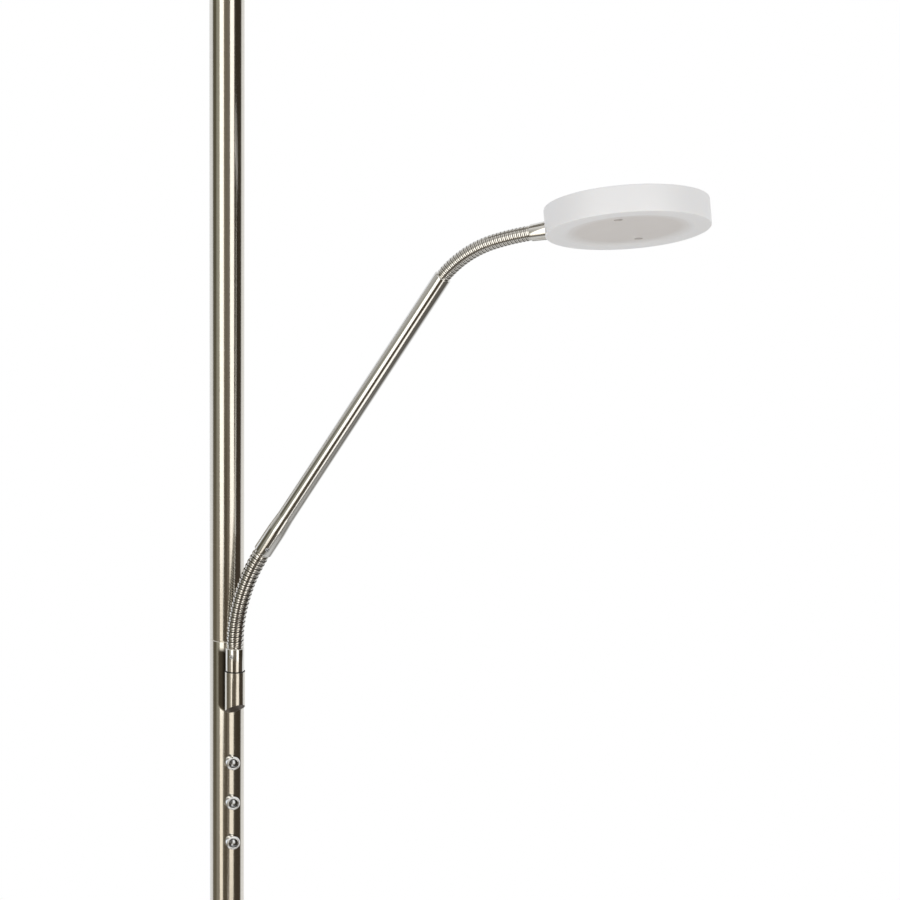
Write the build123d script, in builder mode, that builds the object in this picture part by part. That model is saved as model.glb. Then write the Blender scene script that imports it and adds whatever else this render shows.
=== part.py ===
from build123d import *
import os
from math import cos, radians, sin, sqrt

# Floor lamp with an uplighter, three push dimmers and a reading light on a bendable arm.
# Millimetres and degrees. +Z is up, the origin is on the floor under the pole, -Y is the front.

# Base
base_diameter = 280.0
base_height = 22.0
base_sheet = 1.5
base_edge_radius = 5.0
base_rim_lift = 1.0
pad_thickness = 3.0
pad_inset = 4.0
weight_gap = 0.5
foot_diameter = 34.0
foot_height = 4.0
foot_shank_diameter = 12.0
foot_bore = 8.0
foot_spigot_length = 40.0
nut_pocket_diameter = 40.0
nut_pocket_depth = 9.5
clamp_washer_diameter = 30.0
clamp_washer_thickness = 2.0
clamp_nut_width = 19.0
clamp_nut_height = 6.0
cord_diameter = 7.0
gland_neck_diameter = 10.0
gland_flange_diameter = 14.0
gland_flange_thickness = 2.0
gland_height = 11.5
gland_notch_width = 20.0
gland_notch_depth = 12.0
cord_groove_width = 9.0

# Pole
pole_diameter = 25.0
pole_wall = 1.5
pole_section_length = 542.0
pole_top_length = 640.0
pole_end_chamfer = 0.5
coupler_length = 50.0
coupler_wall = 2.0

# Push dimmers
button_drop = 90.0
button_pitch = 30.0
collar_diameter = 10.7
collar_stand = 5.0
collar_rim_radius = 0.8
collar_bore = 8.0
collar_recess = 3.7
collar_shank_diameter = 8.8
collar_shank_length = 6.0
collar_lip = 1.3
button_stem_diameter = 4.0
button_foot_diameter = 5.6
button_foot_height = 1.6
button_crown = 0.2
button_dish_depth = 0.7
button_travel = 1.3
ring_nut_diameter = 11.6
ring_nut_thickness = 2.0
switch_width = 6.0
switch_depth = 3.6
plunger_diameter = 3.2
plunger_length = 1.3
board_thickness = 1.6
dimmer_board_margin = 15.0

# Arm
arm_azimuth = -40.0
bracket_diameter = 14.6
bracket_drop = 20.0
bracket_length = 28.0
bracket_slant = 31.0
bracket_slant_turn = 11.0
bracket_bore_depth = 24.0
weld_width = 6.0
weld_gap = 0.6
nipple_diameter = 8.0
nipple_bore = 5.0
nipple_drop = 17.0
nipple_nut_diameter = 12.0
nipple_nut_thickness = 3.0
swivel_diameter = 9.0
swivel_length = 12.0
swivel_groove_drop = 6.0
swivel_groove_width = 2.4
swivel_groove_depth = 1.3
swivel_washer_thickness = 0.5
swivel_washer_lip = 0.1
swivel_screw_turn = 30.0
ferrule_diameter = 13.6
ferrule_length = 17.0
ferrule_screw_drop = 5.5
wire_bore = 5.0
grub_diameter = 3.0
grub_socket = 1.5
grub_socket_depth = 0.6
lower_hose_diameter = 12.4
lower_hose_pitch = 3.74
lower_bend_radius = 133.5
lower_bend = 33.2
upper_hose_diameter = 10.7
upper_hose_pitch = 2.87
upper_bend_radius = 55.6
upper_bend = 30.2
upper_end_radius = 180.6
upper_end_bend = 14.6
hose_rib_depth = 0.45
hose_wall = 1.25
hose_end_length = 11.0
arm_tube_diameter = 12.5
arm_tube_wall = 1.25
arm_tube_length = 248.5
swell_diameter = 13.8
swell_length = 24.0
swell_taper = 5.0
tube_end_chamfer = 0.6
tube_screw_rise = 5.5
tube_screw_turn = 30.0

# Reading head
head_diameter = 114.0
head_depth = 19.0
head_roll = 18.0
head_ferrule_length = 13.5
head_ferrule_start_diameter = 12.0
head_ferrule_end_diameter = 13.6
stem_diameter = 6.0
stem_bore = 3.6
stem_nut_width = 9.0
stem_nut_thickness = 3.0
stem_boss_length = 14.0
stem_boss_width = 12.0
stem_boss_height = 10.5
head_screw_circle = 31.4
head_screw_angle = 82.0
head_dish_diameter = 85.0
head_led_inner_radius = 20.0
head_led_inner_count = 6
head_led_outer_radius = 38.0
head_led_outer_count = 10
head_board_bore = 24.0
head_board_diameter = 88.0

# Uplighter
uplight_diameter = 280.0
uplight_depth = 28.0
uplight_skirt = 6.0
pan_depth = 24.0
pan_sheet = 1.5
pan_edge_radius = 8.0
hub_height = 6.0
hub_diameter = 60.0
hub_waist_diameter = 32.0
driver_length = 118.0
driver_width = 44.0
driver_height = 18.0
driver_offset = 62.0
uplight_screw_circle = 95.0
uplight_screw_count = 3
uplight_dish_diameter = 210.0
uplight_led_inner_radius = 72.0
uplight_led_inner_count = 12
uplight_led_outer_radius = 112.0
uplight_led_outer_count = 20
uplight_board_bore = 110.0
uplight_board_diameter = 244.0

# Opal drums, common to both lamps
drum_wall = 4.0
drum_ledge = 2.0
drum_face = 3.0
drum_edge_radius = 0.8
dish_depth = 1.0
dish_edge_radius = 0.9
plate_thickness = 3.0
head_plate_recess = 1.0
screw_boss_diameter = 9.0
screw_head_diameter = 5.8
screw_head_height = 2.2
screw_sink = 5.0
screw_diameter = 3.0
led_size = 2.8
led_height = 0.8

# Clearances
slide_clearance = 0.05
loose_clearance = 0.2
turn_gap = 0.3
stop_gap = 0.1

pole_radius = pole_diameter / 2
pole_inner_radius = pole_radius - pole_wall
foot_top = base_height + foot_height
lower_seam = foot_top + pole_section_length
seam = lower_seam + pole_section_length
pole_top = seam + pole_top_length
arm_offset = pole_radius + weld_gap + bracket_diameter / 2
bracket_top = seam - bracket_drop
bracket_bottom = bracket_top - bracket_length
ferrule_base = bracket_top + swivel_washer_thickness
ferrule_top = ferrule_base + ferrule_length
pieces = {}


def half_section(plane, *outline):
    """Face with corners at (radius, height) beside the plane's Z axis, to be revolved about it."""
    side = Plane(plane.origin, x_dir=plane.x_dir, z_dir=-plane.y_dir)
    with BuildSketch(side) as section:
        with BuildLine():
            Polyline(*outline, close=True)
        make_face()
    return section.sketch


def axis_of(plane):
    """The plane's Z axis."""
    return Axis(plane.origin, plane.z_dir)


def wall_depth(half_width):
    """How far behind the pole's front line a flat part of this half width meets the pole's inside."""
    return pole_radius - sqrt(pole_inner_radius**2 - half_width**2)


def grub_plane(plane, rise, turn, radius):
    """Plane on a round part's surface, facing outwards, at a height and a turn about its Z axis."""
    outward = plane.x_dir * cos(radians(turn)) + plane.y_dir * sin(radians(turn))
    start = plane.origin + plane.z_dir * rise + outward * radius
    return Plane(start, x_dir=plane.z_dir, z_dir=outward)


# Base cover: a steel pan turned upside down, with a hole for the foot and one for the cord gland
gland_plane = Plane((0, base_diameter / 2, gland_height), x_dir=(1, 0, 0), z_dir=(0, 1, 0))
with BuildPart() as base_cover:
    with BuildSketch(Plane.XY.offset(base_rim_lift)):
        Circle(base_diameter / 2)
    extrude(amount=base_height - base_rim_lift)
    fillet(base_cover.edges().sort_by(Axis.Z)[-1], base_edge_radius)
    offset(amount=-base_sheet, openings=base_cover.faces().sort_by(Axis.Z)[0])
    with BuildSketch(Plane.XY.offset(base_height)):
        Circle(foot_shank_diameter / 2 + loose_clearance)
    extrude(amount=-2 * base_sheet, mode=Mode.SUBTRACT)
    with BuildSketch(gland_plane):
        Circle(gland_neck_diameter / 2 + slide_clearance)
    extrude(amount=-2 * base_sheet, mode=Mode.SUBTRACT)
pieces["base_cover"] = base_cover

# Base weight: cast-iron disc under the cover, with a pocket for the nut and a groove for the cord
weight_radius = base_diameter / 2 - base_sheet - weight_gap
weight_top = base_height - base_sheet
with BuildPart() as base_weight:
    with BuildSketch(Plane.XY.offset(pad_thickness)):
        Circle(weight_radius)
    extrude(amount=weight_top - pad_thickness)
    chamfer(base_weight.edges().sort_by(Axis.Z)[-1], base_edge_radius)
    with BuildSketch(Plane.XY.offset(pad_thickness)):
        Circle(nut_pocket_diameter / 2)
    extrude(amount=nut_pocket_depth, mode=Mode.SUBTRACT)
    with BuildSketch(Plane.XY.offset(pad_thickness)):
        Circle(foot_shank_diameter / 2 + loose_clearance)
    extrude(amount=weight_top, mode=Mode.SUBTRACT)
    with BuildSketch(Plane.XY.offset(pad_thickness)):
        with Locations((0, weight_radius / 2)):
            Rectangle(cord_groove_width, weight_radius)
    extrude(amount=nut_pocket_depth, mode=Mode.SUBTRACT)
    with BuildSketch(Plane.XY.offset(pad_thickness)):
        with Locations((0, weight_radius)):
            Rectangle(gland_notch_width, 2 * gland_notch_depth)
    extrude(amount=weight_top, mode=Mode.SUBTRACT)
pieces["base_weight"] = base_weight

# Base pad: felt disc glued under the weight
with BuildPart() as base_pad:
    with BuildSketch():
        Circle(weight_radius - pad_inset)
    extrude(amount=pad_thickness)
pieces["base_pad"] = base_pad

# Pole foot: turned flange with a spigot up into the pole and a hollow shank down through the base
clamp_ceiling = pad_thickness + nut_pocket_depth
clamp_nut_top = clamp_ceiling - clamp_washer_thickness
shank_end = clamp_nut_top - clamp_nut_height
spigot_radius = pole_inner_radius - slide_clearance
spigot_bore = spigot_radius - coupler_wall
with BuildPart() as pole_foot:
    foot_outline = (
        (foot_bore / 2, shank_end),
        (foot_shank_diameter / 2, shank_end),
        (foot_shank_diameter / 2, base_height),
        (foot_diameter / 2, base_height),
        (foot_diameter / 2, foot_top - pole_end_chamfer),
        (foot_diameter / 2 - pole_end_chamfer, foot_top),
        (spigot_radius, foot_top),
        (spigot_radius, foot_top + foot_spigot_length),
        (spigot_bore, foot_top + foot_spigot_length),
        (spigot_bore, foot_top + foot_height),
        (foot_bore / 2, foot_top),
    )
    revolve(half_section(Plane.XY, *foot_outline), axis=Axis.Z)
pieces["pole_foot"] = pole_foot

# Base washer and nut: clamp the foot's shank under the weight
with BuildPart() as base_washer:
    with BuildSketch(Plane.XY.offset(clamp_nut_top)):
        Circle(clamp_washer_diameter / 2)
        Circle(foot_shank_diameter / 2 + loose_clearance, mode=Mode.SUBTRACT)
    extrude(amount=clamp_washer_thickness)
pieces["base_washer"] = base_washer

with BuildPart() as base_nut:
    with BuildSketch(Plane.XY.offset(shank_end)):
        RegularPolygon(clamp_nut_width / 2, 6, major_radius=False)
        Circle(foot_shank_diameter / 2 + slide_clearance, mode=Mode.SUBTRACT)
    extrude(amount=clamp_nut_height)
pieces["base_nut"] = base_nut

# Cord gland: rubber grommet in the back of the base cover
cover_sagitta = base_diameter / 2 - sqrt((base_diameter / 2) ** 2 - (gland_flange_diameter / 2) ** 2)
with BuildPart() as cord_gland:
    gland_back = -base_sheet - cover_sagitta - stop_gap
    gland_outline = (
        (cord_diameter / 2, gland_back - gland_flange_thickness),
        (gland_flange_diameter / 2, gland_back - gland_flange_thickness),
        (gland_flange_diameter / 2, gland_back),
        (gland_neck_diameter / 2, gland_back),
        (gland_neck_diameter / 2, stop_gap),
        (gland_flange_diameter / 2, stop_gap),
        (gland_flange_diameter / 2, gland_flange_thickness),
        (cord_diameter / 2, gland_flange_thickness),
    )
    revolve(half_section(gland_plane, *gland_outline), axis=axis_of(gland_plane))
pieces["cord_gland"] = cord_gland

# Pole tubes, stacked end to end on the foot, and the couplers inside their joints
tube_spans = {
    "pole_tube_lower": (foot_top, pole_section_length),
    "pole_tube_middle": (lower_seam, pole_section_length),
    "pole_tube_upper": (seam, pole_top_length),
}
for tube_name, (tube_base, tube_length) in tube_spans.items():
    with BuildPart() as pole_tube:
        with BuildSketch(Plane.XY.offset(tube_base)):
            Circle(pole_radius)
        extrude(amount=tube_length)
        chamfer(pole_tube.edges().filter_by(GeomType.CIRCLE), pole_end_chamfer)
        with BuildSketch(Plane.XY.offset(tube_base)):
            Circle(pole_inner_radius)
        extrude(amount=tube_length, mode=Mode.SUBTRACT)
    pieces[tube_name] = pole_tube

for coupler_name, joint_height in (("pole_coupler_lower", lower_seam), ("pole_coupler_upper", seam)):
    with BuildPart() as pole_coupler:
        with BuildSketch(Plane.XY.offset(joint_height - coupler_length / 2)):
            Circle(spigot_radius)
            Circle(spigot_bore, mode=Mode.SUBTRACT)
        extrude(amount=coupler_length)
    pieces[coupler_name] = pole_coupler

# Holes in the middle tube for the dimmer collars and the bracket's nipple
button_heights = [seam - button_drop - button_pitch * i for i in range(3)]
button_planes = [Plane((0, -pole_radius, z), x_dir=(1, 0, 0), z_dir=(0, -1, 0)) for z in button_heights]
nipple_height = bracket_top - nipple_drop
nipple_plane = Plane((0, -arm_offset, nipple_height), x_dir=(1, 0, 0), z_dir=(0, 1, 0))
with BuildPart() as pole_tube_middle:
    add(pieces["pole_tube_middle"].part)
    for button_plane in button_planes:
        with BuildSketch(button_plane):
            Circle(collar_shank_diameter / 2 + slide_clearance)
        extrude(amount=-pole_radius, mode=Mode.SUBTRACT)
    with BuildSketch(nipple_plane):
        Circle(nipple_diameter / 2 + slide_clearance)
    extrude(amount=arm_offset, mode=Mode.SUBTRACT)
pieces["pole_tube_middle"] = pole_tube_middle

# Dimmer collars: chrome bushes seated on the pole, with a lip that keeps the button in
lip_front = collar_stand - collar_recess
lip_back = lip_front - collar_lip
with BuildPart() as dimmer_collars:
    for button_plane in button_planes:
        with BuildSketch(button_plane.offset(-pole_radius)):
            Circle(collar_diameter / 2)
        extrude(amount=pole_radius + collar_stand)
    fillet(dimmer_collars.edges().group_by(Axis.Y)[0], collar_rim_radius)
    with BuildSketch(Plane.XY.offset(foot_top)):
        Circle(pole_radius)
    extrude(amount=pole_top - foot_top, mode=Mode.SUBTRACT)
    for button_plane in button_planes:
        with BuildSketch(button_plane.offset(-collar_shank_length)):
            Circle(collar_shank_diameter / 2)
        extrude(amount=collar_shank_length + collar_lip)
        with BuildSketch(button_plane.offset(lip_front)):
            Circle(collar_bore / 2)
        extrude(amount=collar_stand, mode=Mode.SUBTRACT)
        with BuildSketch(button_plane.offset(-collar_shank_length)):
            Circle(button_stem_diameter / 2 + loose_clearance)
        extrude(amount=collar_shank_length + collar_stand, mode=Mode.SUBTRACT)
        with BuildSketch(button_plane.offset(lip_back)):
            Circle(button_foot_diameter / 2 + loose_clearance)
        extrude(amount=-2 * collar_shank_length, mode=Mode.SUBTRACT)
pieces["dimmer_collars"] = dimmer_collars

# Ring nuts: hold the collars from inside the pole
ring_nut_seat = wall_depth(ring_nut_diameter / 2) + slide_clearance
with BuildPart() as dimmer_nuts:
    for button_plane in button_planes:
        with BuildSketch(button_plane.offset(-ring_nut_seat)):
            Circle(ring_nut_diameter / 2)
            Circle(collar_shank_diameter / 2 + slide_clearance, mode=Mode.SUBTRACT)
        extrude(amount=-ring_nut_thickness)
pieces["dimmer_nuts"] = dimmer_nuts

# Push buttons: dished chrome caps that slide in the collars, each on a stem with a wider foot
cap_back = lip_front + button_travel + stop_gap
cap_front = collar_stand + button_crown
button_cap_radius = collar_bore / 2 - loose_clearance
foot_front = lip_back - stop_gap
stem_end = -pole_radius + switch_depth + plunger_length + button_travel + stop_gap
dish_radius = (button_cap_radius**2 / button_dish_depth + button_dish_depth) / 2
for button_name, button_plane in zip(("button_top", "button_middle", "button_bottom"), button_planes):
    with BuildPart() as button:
        with BuildSketch(button_plane.offset(cap_back)):
            Circle(button_cap_radius)
        extrude(amount=cap_front - cap_back)
        with BuildSketch(button_plane.offset(stem_end)):
            Circle(button_stem_diameter / 2)
        extrude(amount=cap_back - stem_end)
        with BuildSketch(button_plane.offset(foot_front)):
            Circle(button_foot_diameter / 2)
        extrude(amount=-button_foot_height)
        with Locations(button_plane.offset(cap_front + dish_radius - button_dish_depth / 2)):
            Sphere(dish_radius, mode=Mode.SUBTRACT)
    pieces[button_name] = button

# Dimmer board: circuit board across the pole, with a switch behind each button
board_half_width = sqrt(pole_inner_radius**2 - board_thickness**2) - stop_gap
board_length = 2 * button_pitch + 2 * dimmer_board_margin
board_middle = button_heights[1]
with BuildPart() as dimmer_board:
    with BuildSketch(Plane((0, 0, board_middle), x_dir=(1, 0, 0), z_dir=(0, 1, 0))):
        Rectangle(2 * board_half_width, board_length)
    extrude(amount=board_thickness)
pieces["dimmer_board"] = dimmer_board

with BuildPart() as dimmer_switches:
    for button_plane in button_planes:
        with BuildSketch(button_plane.offset(-pole_radius)):
            Rectangle(switch_width, switch_width)
        extrude(amount=switch_depth)
        with BuildSketch(button_plane.offset(-pole_radius + switch_depth)):
            Circle(plunger_diameter / 2)
        extrude(amount=plunger_length)
pieces["dimmer_switches"] = dimmer_switches

# Arm bracket: bored stub welded to the pole, its underside cut at a slant
bracket_plane = Plane((0, -arm_offset, bracket_top), x_dir=(1, 0, 0), z_dir=(0, 0, 1))
bracket_radius = bracket_diameter / 2
slant_turn = radians(bracket_slant_turn)
slant_front = Vector(sin(slant_turn), -cos(slant_turn), 0)
slant_normal = Vector(0, 0, 1) * cos(radians(bracket_slant)) - slant_front * sin(radians(bracket_slant))
slant_plane = Plane((0, -arm_offset, bracket_bottom), z_dir=slant_normal)
bracket_reach = bracket_length + bracket_diameter
swivel_groove = bracket_top - swivel_groove_drop
bracket_screw_plane = grub_plane(bracket_plane, -swivel_groove_drop, swivel_screw_turn, bracket_radius)
with BuildPart() as arm_bracket:
    with BuildSketch(bracket_plane):
        Circle(bracket_radius)
    extrude(amount=-bracket_reach)
    with BuildSketch(bracket_plane):
        with Locations((0, bracket_radius)):
            Rectangle(weld_width, bracket_diameter)
    extrude(amount=-bracket_reach)
    with BuildSketch(Plane.XY.offset(bracket_top)):
        Circle(pole_radius)
    extrude(amount=-2 * bracket_reach, mode=Mode.SUBTRACT)
    split(bisect_by=slant_plane, keep=Keep.TOP)
    with BuildSketch(bracket_plane):
        Circle(swivel_diameter / 2 + slide_clearance)
    extrude(amount=-bracket_bore_depth, mode=Mode.SUBTRACT)
    with BuildSketch(nipple_plane):
        Circle(nipple_diameter / 2 + slide_clearance)
    extrude(amount=arm_offset, mode=Mode.SUBTRACT)
    with BuildSketch(bracket_screw_plane):
        Circle(grub_diameter / 2 + slide_clearance)
    extrude(amount=-bracket_radius, mode=Mode.SUBTRACT)
pieces["arm_bracket"] = arm_bracket

# Bracket nipple and nut: hollow bolt through the pole's wall that also leads the wires into the arm
nipple_start = swivel_diameter / 2 + loose_clearance
nipple_nut_seat = arm_offset - pole_radius + wall_depth(nipple_nut_diameter / 2) + slide_clearance
with BuildPart() as bracket_nipple:
    with BuildSketch(nipple_plane.offset(nipple_start)):
        Circle(nipple_diameter / 2)
        Circle(nipple_bore / 2, mode=Mode.SUBTRACT)
    extrude(amount=nipple_nut_seat + nipple_nut_thickness - nipple_start)
pieces["bracket_nipple"] = bracket_nipple

with BuildPart() as bracket_nut:
    with BuildSketch(nipple_plane.offset(nipple_nut_seat)):
        Circle(nipple_nut_diameter / 2)
        Circle(nipple_diameter / 2 + slide_clearance, mode=Mode.SUBTRACT)
    extrude(amount=nipple_nut_thickness)
pieces["bracket_nut"] = bracket_nut

# Swivel washer: thin dark ring between the bracket and the ferrule that turns on it
with BuildPart() as swivel_washer:
    with BuildSketch(bracket_plane):
        Circle(bracket_radius + swivel_washer_lip)
        Circle(swivel_diameter / 2 + loose_clearance, mode=Mode.SUBTRACT)
    extrude(amount=swivel_washer_thickness - slide_clearance)
pieces["swivel_washer"] = swivel_washer

# Swivel screw: grub screw in the bracket whose tip runs in the groove of the ferrule's spigot
swivel_radius = swivel_diameter / 2
groove_floor = swivel_radius - swivel_groove_depth
with BuildPart() as swivel_screw:
    with BuildSketch(bracket_screw_plane.offset(swivel_radius + loose_clearance - bracket_radius)):
        Circle(grub_diameter / 2)
    extrude(amount=bracket_radius - swivel_radius - 2 * loose_clearance)
    with BuildSketch(bracket_screw_plane.offset(groove_floor + loose_clearance - bracket_radius)):
        Circle(swivel_groove_width / 2 - loose_clearance)
    extrude(amount=swivel_groove_depth)
    with BuildSketch(bracket_screw_plane):
        RegularPolygon(grub_socket / 2, 6, major_radius=False)
    extrude(amount=-2 * grub_socket_depth, mode=Mode.SUBTRACT)
pieces["swivel_screw"] = swivel_screw

# Arm ferrule: turned sleeve that swivels in the bracket and holds the lower hose
lower_valley = lower_hose_diameter / 2 - hose_rib_depth
upper_valley = upper_hose_diameter / 2 - hose_rib_depth
lower_socket = lower_valley + slide_clearance
ferrule_radius = ferrule_diameter / 2
socket_depth = hose_end_length + stop_gap
ferrule_axis = Plane((0, -arm_offset, 0), x_dir=(1, 0, 0), z_dir=(0, 0, 1))
ferrule_screw_plane = grub_plane(
    ferrule_axis, ferrule_top - ferrule_screw_drop, arm_azimuth - 90, ferrule_radius
)
with BuildPart() as arm_ferrule:
    spigot_end = bracket_top - swivel_length
    ferrule_outline = (
        (wire_bore / 2, spigot_end),
        (swivel_radius, spigot_end),
        (swivel_radius, swivel_groove - swivel_groove_width / 2),
        (groove_floor, swivel_groove - swivel_groove_width / 2),
        (groove_floor, swivel_groove + swivel_groove_width / 2),
        (swivel_radius, swivel_groove + swivel_groove_width / 2),
        (swivel_radius, ferrule_base),
        (ferrule_radius, ferrule_base),
        (ferrule_radius, ferrule_top - tube_end_chamfer),
        (ferrule_radius - tube_end_chamfer, ferrule_top),
        (lower_socket, ferrule_top),
        (lower_socket, ferrule_top - socket_depth),
        (wire_bore / 2, ferrule_top - socket_depth),
    )
    revolve(half_section(ferrule_axis, *ferrule_outline), axis=axis_of(ferrule_axis))
    with BuildSketch(ferrule_screw_plane):
        Circle(grub_diameter / 2 + slide_clearance)
    extrude(amount=-ferrule_radius, mode=Mode.SUBTRACT)
pieces["arm_ferrule"] = arm_ferrule


def hose_screw(screw_plane, outer_radius, inner_radius):
    """Short grub screw, sunk a little, that presses on a hose's end."""
    with BuildPart() as screw:
        with BuildSketch(screw_plane.offset(inner_radius + stop_gap - outer_radius)):
            Circle(grub_diameter / 2)
        extrude(amount=outer_radius - inner_radius - 3 * stop_gap)
        with BuildSketch(screw_plane):
            RegularPolygon(grub_socket / 2, 6, major_radius=False)
        extrude(amount=-grub_socket_depth, mode=Mode.SUBTRACT)
    return screw


pieces["ferrule_screw"] = hose_screw(ferrule_screw_plane, ferrule_radius, lower_valley)

# The arm bends in one upright plane: along is its sideways direction, and leans count from upright
along = Vector(cos(radians(arm_azimuth)), sin(radians(arm_azimuth)), 0)
across = along.cross(Vector(0, 0, 1))
arm_foot_point = Vector(0, -arm_offset, 0)


def leaning(lean):
    """Direction in the arm's plane, leaning this far from upright."""
    return along * sin(radians(lean)) + Vector(0, 0, 1) * cos(radians(lean))


def arc_end(start, lean, radius, bend):
    """Where an arc in the arm's plane ends that starts at a point with this lean and bends outwards."""
    toward = leaning(lean + 90) * radius
    return start + toward - leaning(lean + bend + 90) * radius


def hose(start, lean, bends, diameter, pitch):
    """Strip-wound hose with its bore: a plain end, ribs along one bend after another, a plain end."""
    lengths = [radius * radians(bend) for radius, bend in bends]
    ribbed_length = sum(lengths)
    crest = diameter / 2
    valley = crest - hose_rib_depth
    rib_count = round(ribbed_length / pitch)
    rib_step = ribbed_length / rib_count
    rib_profile = ((0.2, valley), (0.28, crest), (0.72, crest), (0.8, valley))

    def station(run):
        """Plane square to the hose, this far along its ribs."""
        point, here, left = start, lean, max(run, 0)
        for (radius, bend), length in zip(bends, lengths):
            turn = bend * min(left / length, 1)
            point = arc_end(point, here, radius, turn)
            here += turn
            left = max(left - length, 0)
        beyond = left + min(run, 0)
        return Plane(point + leaning(here) * beyond, x_dir=across, z_dir=leaning(here))

    ring_places = [(-hose_end_length, valley)]
    for rib in range(rib_count):
        ring_places += [(rib_step * (rib + share), ring) for share, ring in rib_profile]
    ring_places.append((ribbed_length + hose_end_length, valley))
    with BuildPart() as ribbed:
        for run, ring in ring_places:
            with BuildSketch(station(run)):
                Circle(ring)
        loft(ruled=True)
        with BuildLine() as bore_path:
            Line(station(-hose_end_length).origin, start)
            run = 0
            for length in lengths:
                ThreePointArc(*[station(run + length * share).origin for share in (0, 0.5, 1)])
                run += length
            Line(station(run).origin, station(run + hose_end_length).origin)
        with BuildSketch(station(-hose_end_length)):
            Circle(valley - hose_wall)
        sweep(path=bore_path.line, mode=Mode.SUBTRACT)
    return ribbed, station(ribbed_length)


# Lower hose: bends from upright in the ferrule to the lean of the arm tube
lower_hose, arm_tube_plane = hose(
    arm_foot_point + Vector(0, 0, ferrule_top),
    0,
    [(lower_bend_radius, lower_bend)],
    lower_hose_diameter,
    lower_hose_pitch,
)
pieces["lower_hose"] = lower_hose

# Arm tube: straight tube whose lower end is swollen to take the hose
arm_tube_radius = arm_tube_diameter / 2
arm_tube_bore = arm_tube_radius - arm_tube_wall
swell_radius = swell_diameter / 2
upper_socket = upper_valley + slide_clearance
tube_screw_plane = grub_plane(arm_tube_plane, tube_screw_rise, tube_screw_turn, swell_radius)
with BuildPart() as arm_tube:
    tube_outline = (
        (lower_socket, 0),
        (swell_radius - tube_end_chamfer, 0),
        (swell_radius, tube_end_chamfer),
        (swell_radius, swell_length),
        (arm_tube_radius, swell_length + swell_taper),
        (arm_tube_radius, arm_tube_length - tube_end_chamfer),
        (arm_tube_radius - tube_end_chamfer, arm_tube_length),
        (upper_socket, arm_tube_length),
        (upper_socket, arm_tube_length - socket_depth),
        (arm_tube_bore, arm_tube_length - socket_depth),
        (arm_tube_bore, socket_depth),
        (lower_socket, socket_depth),
    )
    revolve(half_section(arm_tube_plane, *tube_outline), axis=axis_of(arm_tube_plane))
    with BuildSketch(tube_screw_plane):
        Circle(grub_diameter / 2 + slide_clearance)
    extrude(amount=-swell_radius, mode=Mode.SUBTRACT)
pieces["arm_tube"] = arm_tube
pieces["tube_screw"] = hose_screw(tube_screw_plane, swell_radius, lower_valley)

# Upper hose: bends from the arm tube down to the head's stem, tightest next to the tube
upper_hose, stem_plane = hose(
    arm_tube_plane.origin + arm_tube_plane.z_dir * arm_tube_length,
    lower_bend,
    [(upper_bend_radius, upper_bend), (upper_end_radius, upper_end_bend)],
    upper_hose_diameter,
    upper_hose_pitch,
)
pieces["upper_hose"] = upper_hose

# Reading head's own frame: X along the stem, Z up through the disc, origin in the middle of its top
head_radius = head_diameter / 2
stem_run = head_ferrule_length + turn_gap + head_radius
upright = stem_plane.z_dir.cross(across)
roll = radians(head_roll)
head_up = upright * cos(roll) + across * sin(roll)
if head_up.Z < 0:
    head_up = head_up * -1
head_middle = stem_plane.origin + stem_plane.z_dir * stem_run
head_plane = Plane(head_middle + head_up * (head_depth / 2), x_dir=stem_plane.z_dir, z_dir=head_up * -1)

# Head ferrule: tapered sleeve on the upper hose, with the hollow stem that the head turns on
ledge_radius = head_radius - drum_wall - drum_ledge
stem_boss_start = sqrt(ledge_radius**2 - (stem_boss_width / 2) ** 2) - loose_clearance
stem_nut_face = stem_run - stem_boss_start + stem_boss_length + loose_clearance
with BuildPart() as head_ferrule:
    head_ferrule_outline = (
        (upper_socket, 0),
        (head_ferrule_start_diameter / 2, 0),
        (head_ferrule_end_diameter / 2, head_ferrule_length),
        (stem_diameter / 2, head_ferrule_length),
        (stem_diameter / 2, stem_nut_face + stem_nut_thickness),
        (stem_bore / 2, stem_nut_face + stem_nut_thickness),
        (stem_bore / 2, socket_depth),
        (upper_socket, socket_depth),
    )
    revolve(half_section(stem_plane, *head_ferrule_outline), axis=axis_of(stem_plane))
pieces["head_ferrule"] = head_ferrule

with BuildPart() as stem_nut:
    with BuildSketch(stem_plane.offset(stem_nut_face)):
        RegularPolygon(stem_nut_width / 2, 6, major_radius=False)
        Circle(stem_diameter / 2 + slide_clearance, mode=Mode.SUBTRACT)
    extrude(amount=stem_nut_thickness)
pieces["stem_nut"] = stem_nut


def screw_spots(circle, count, first_angle):
    """Places of the screws that hold a drum to its plate."""
    return PolarLocations(circle, round(count), start_angle=first_angle)


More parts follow.
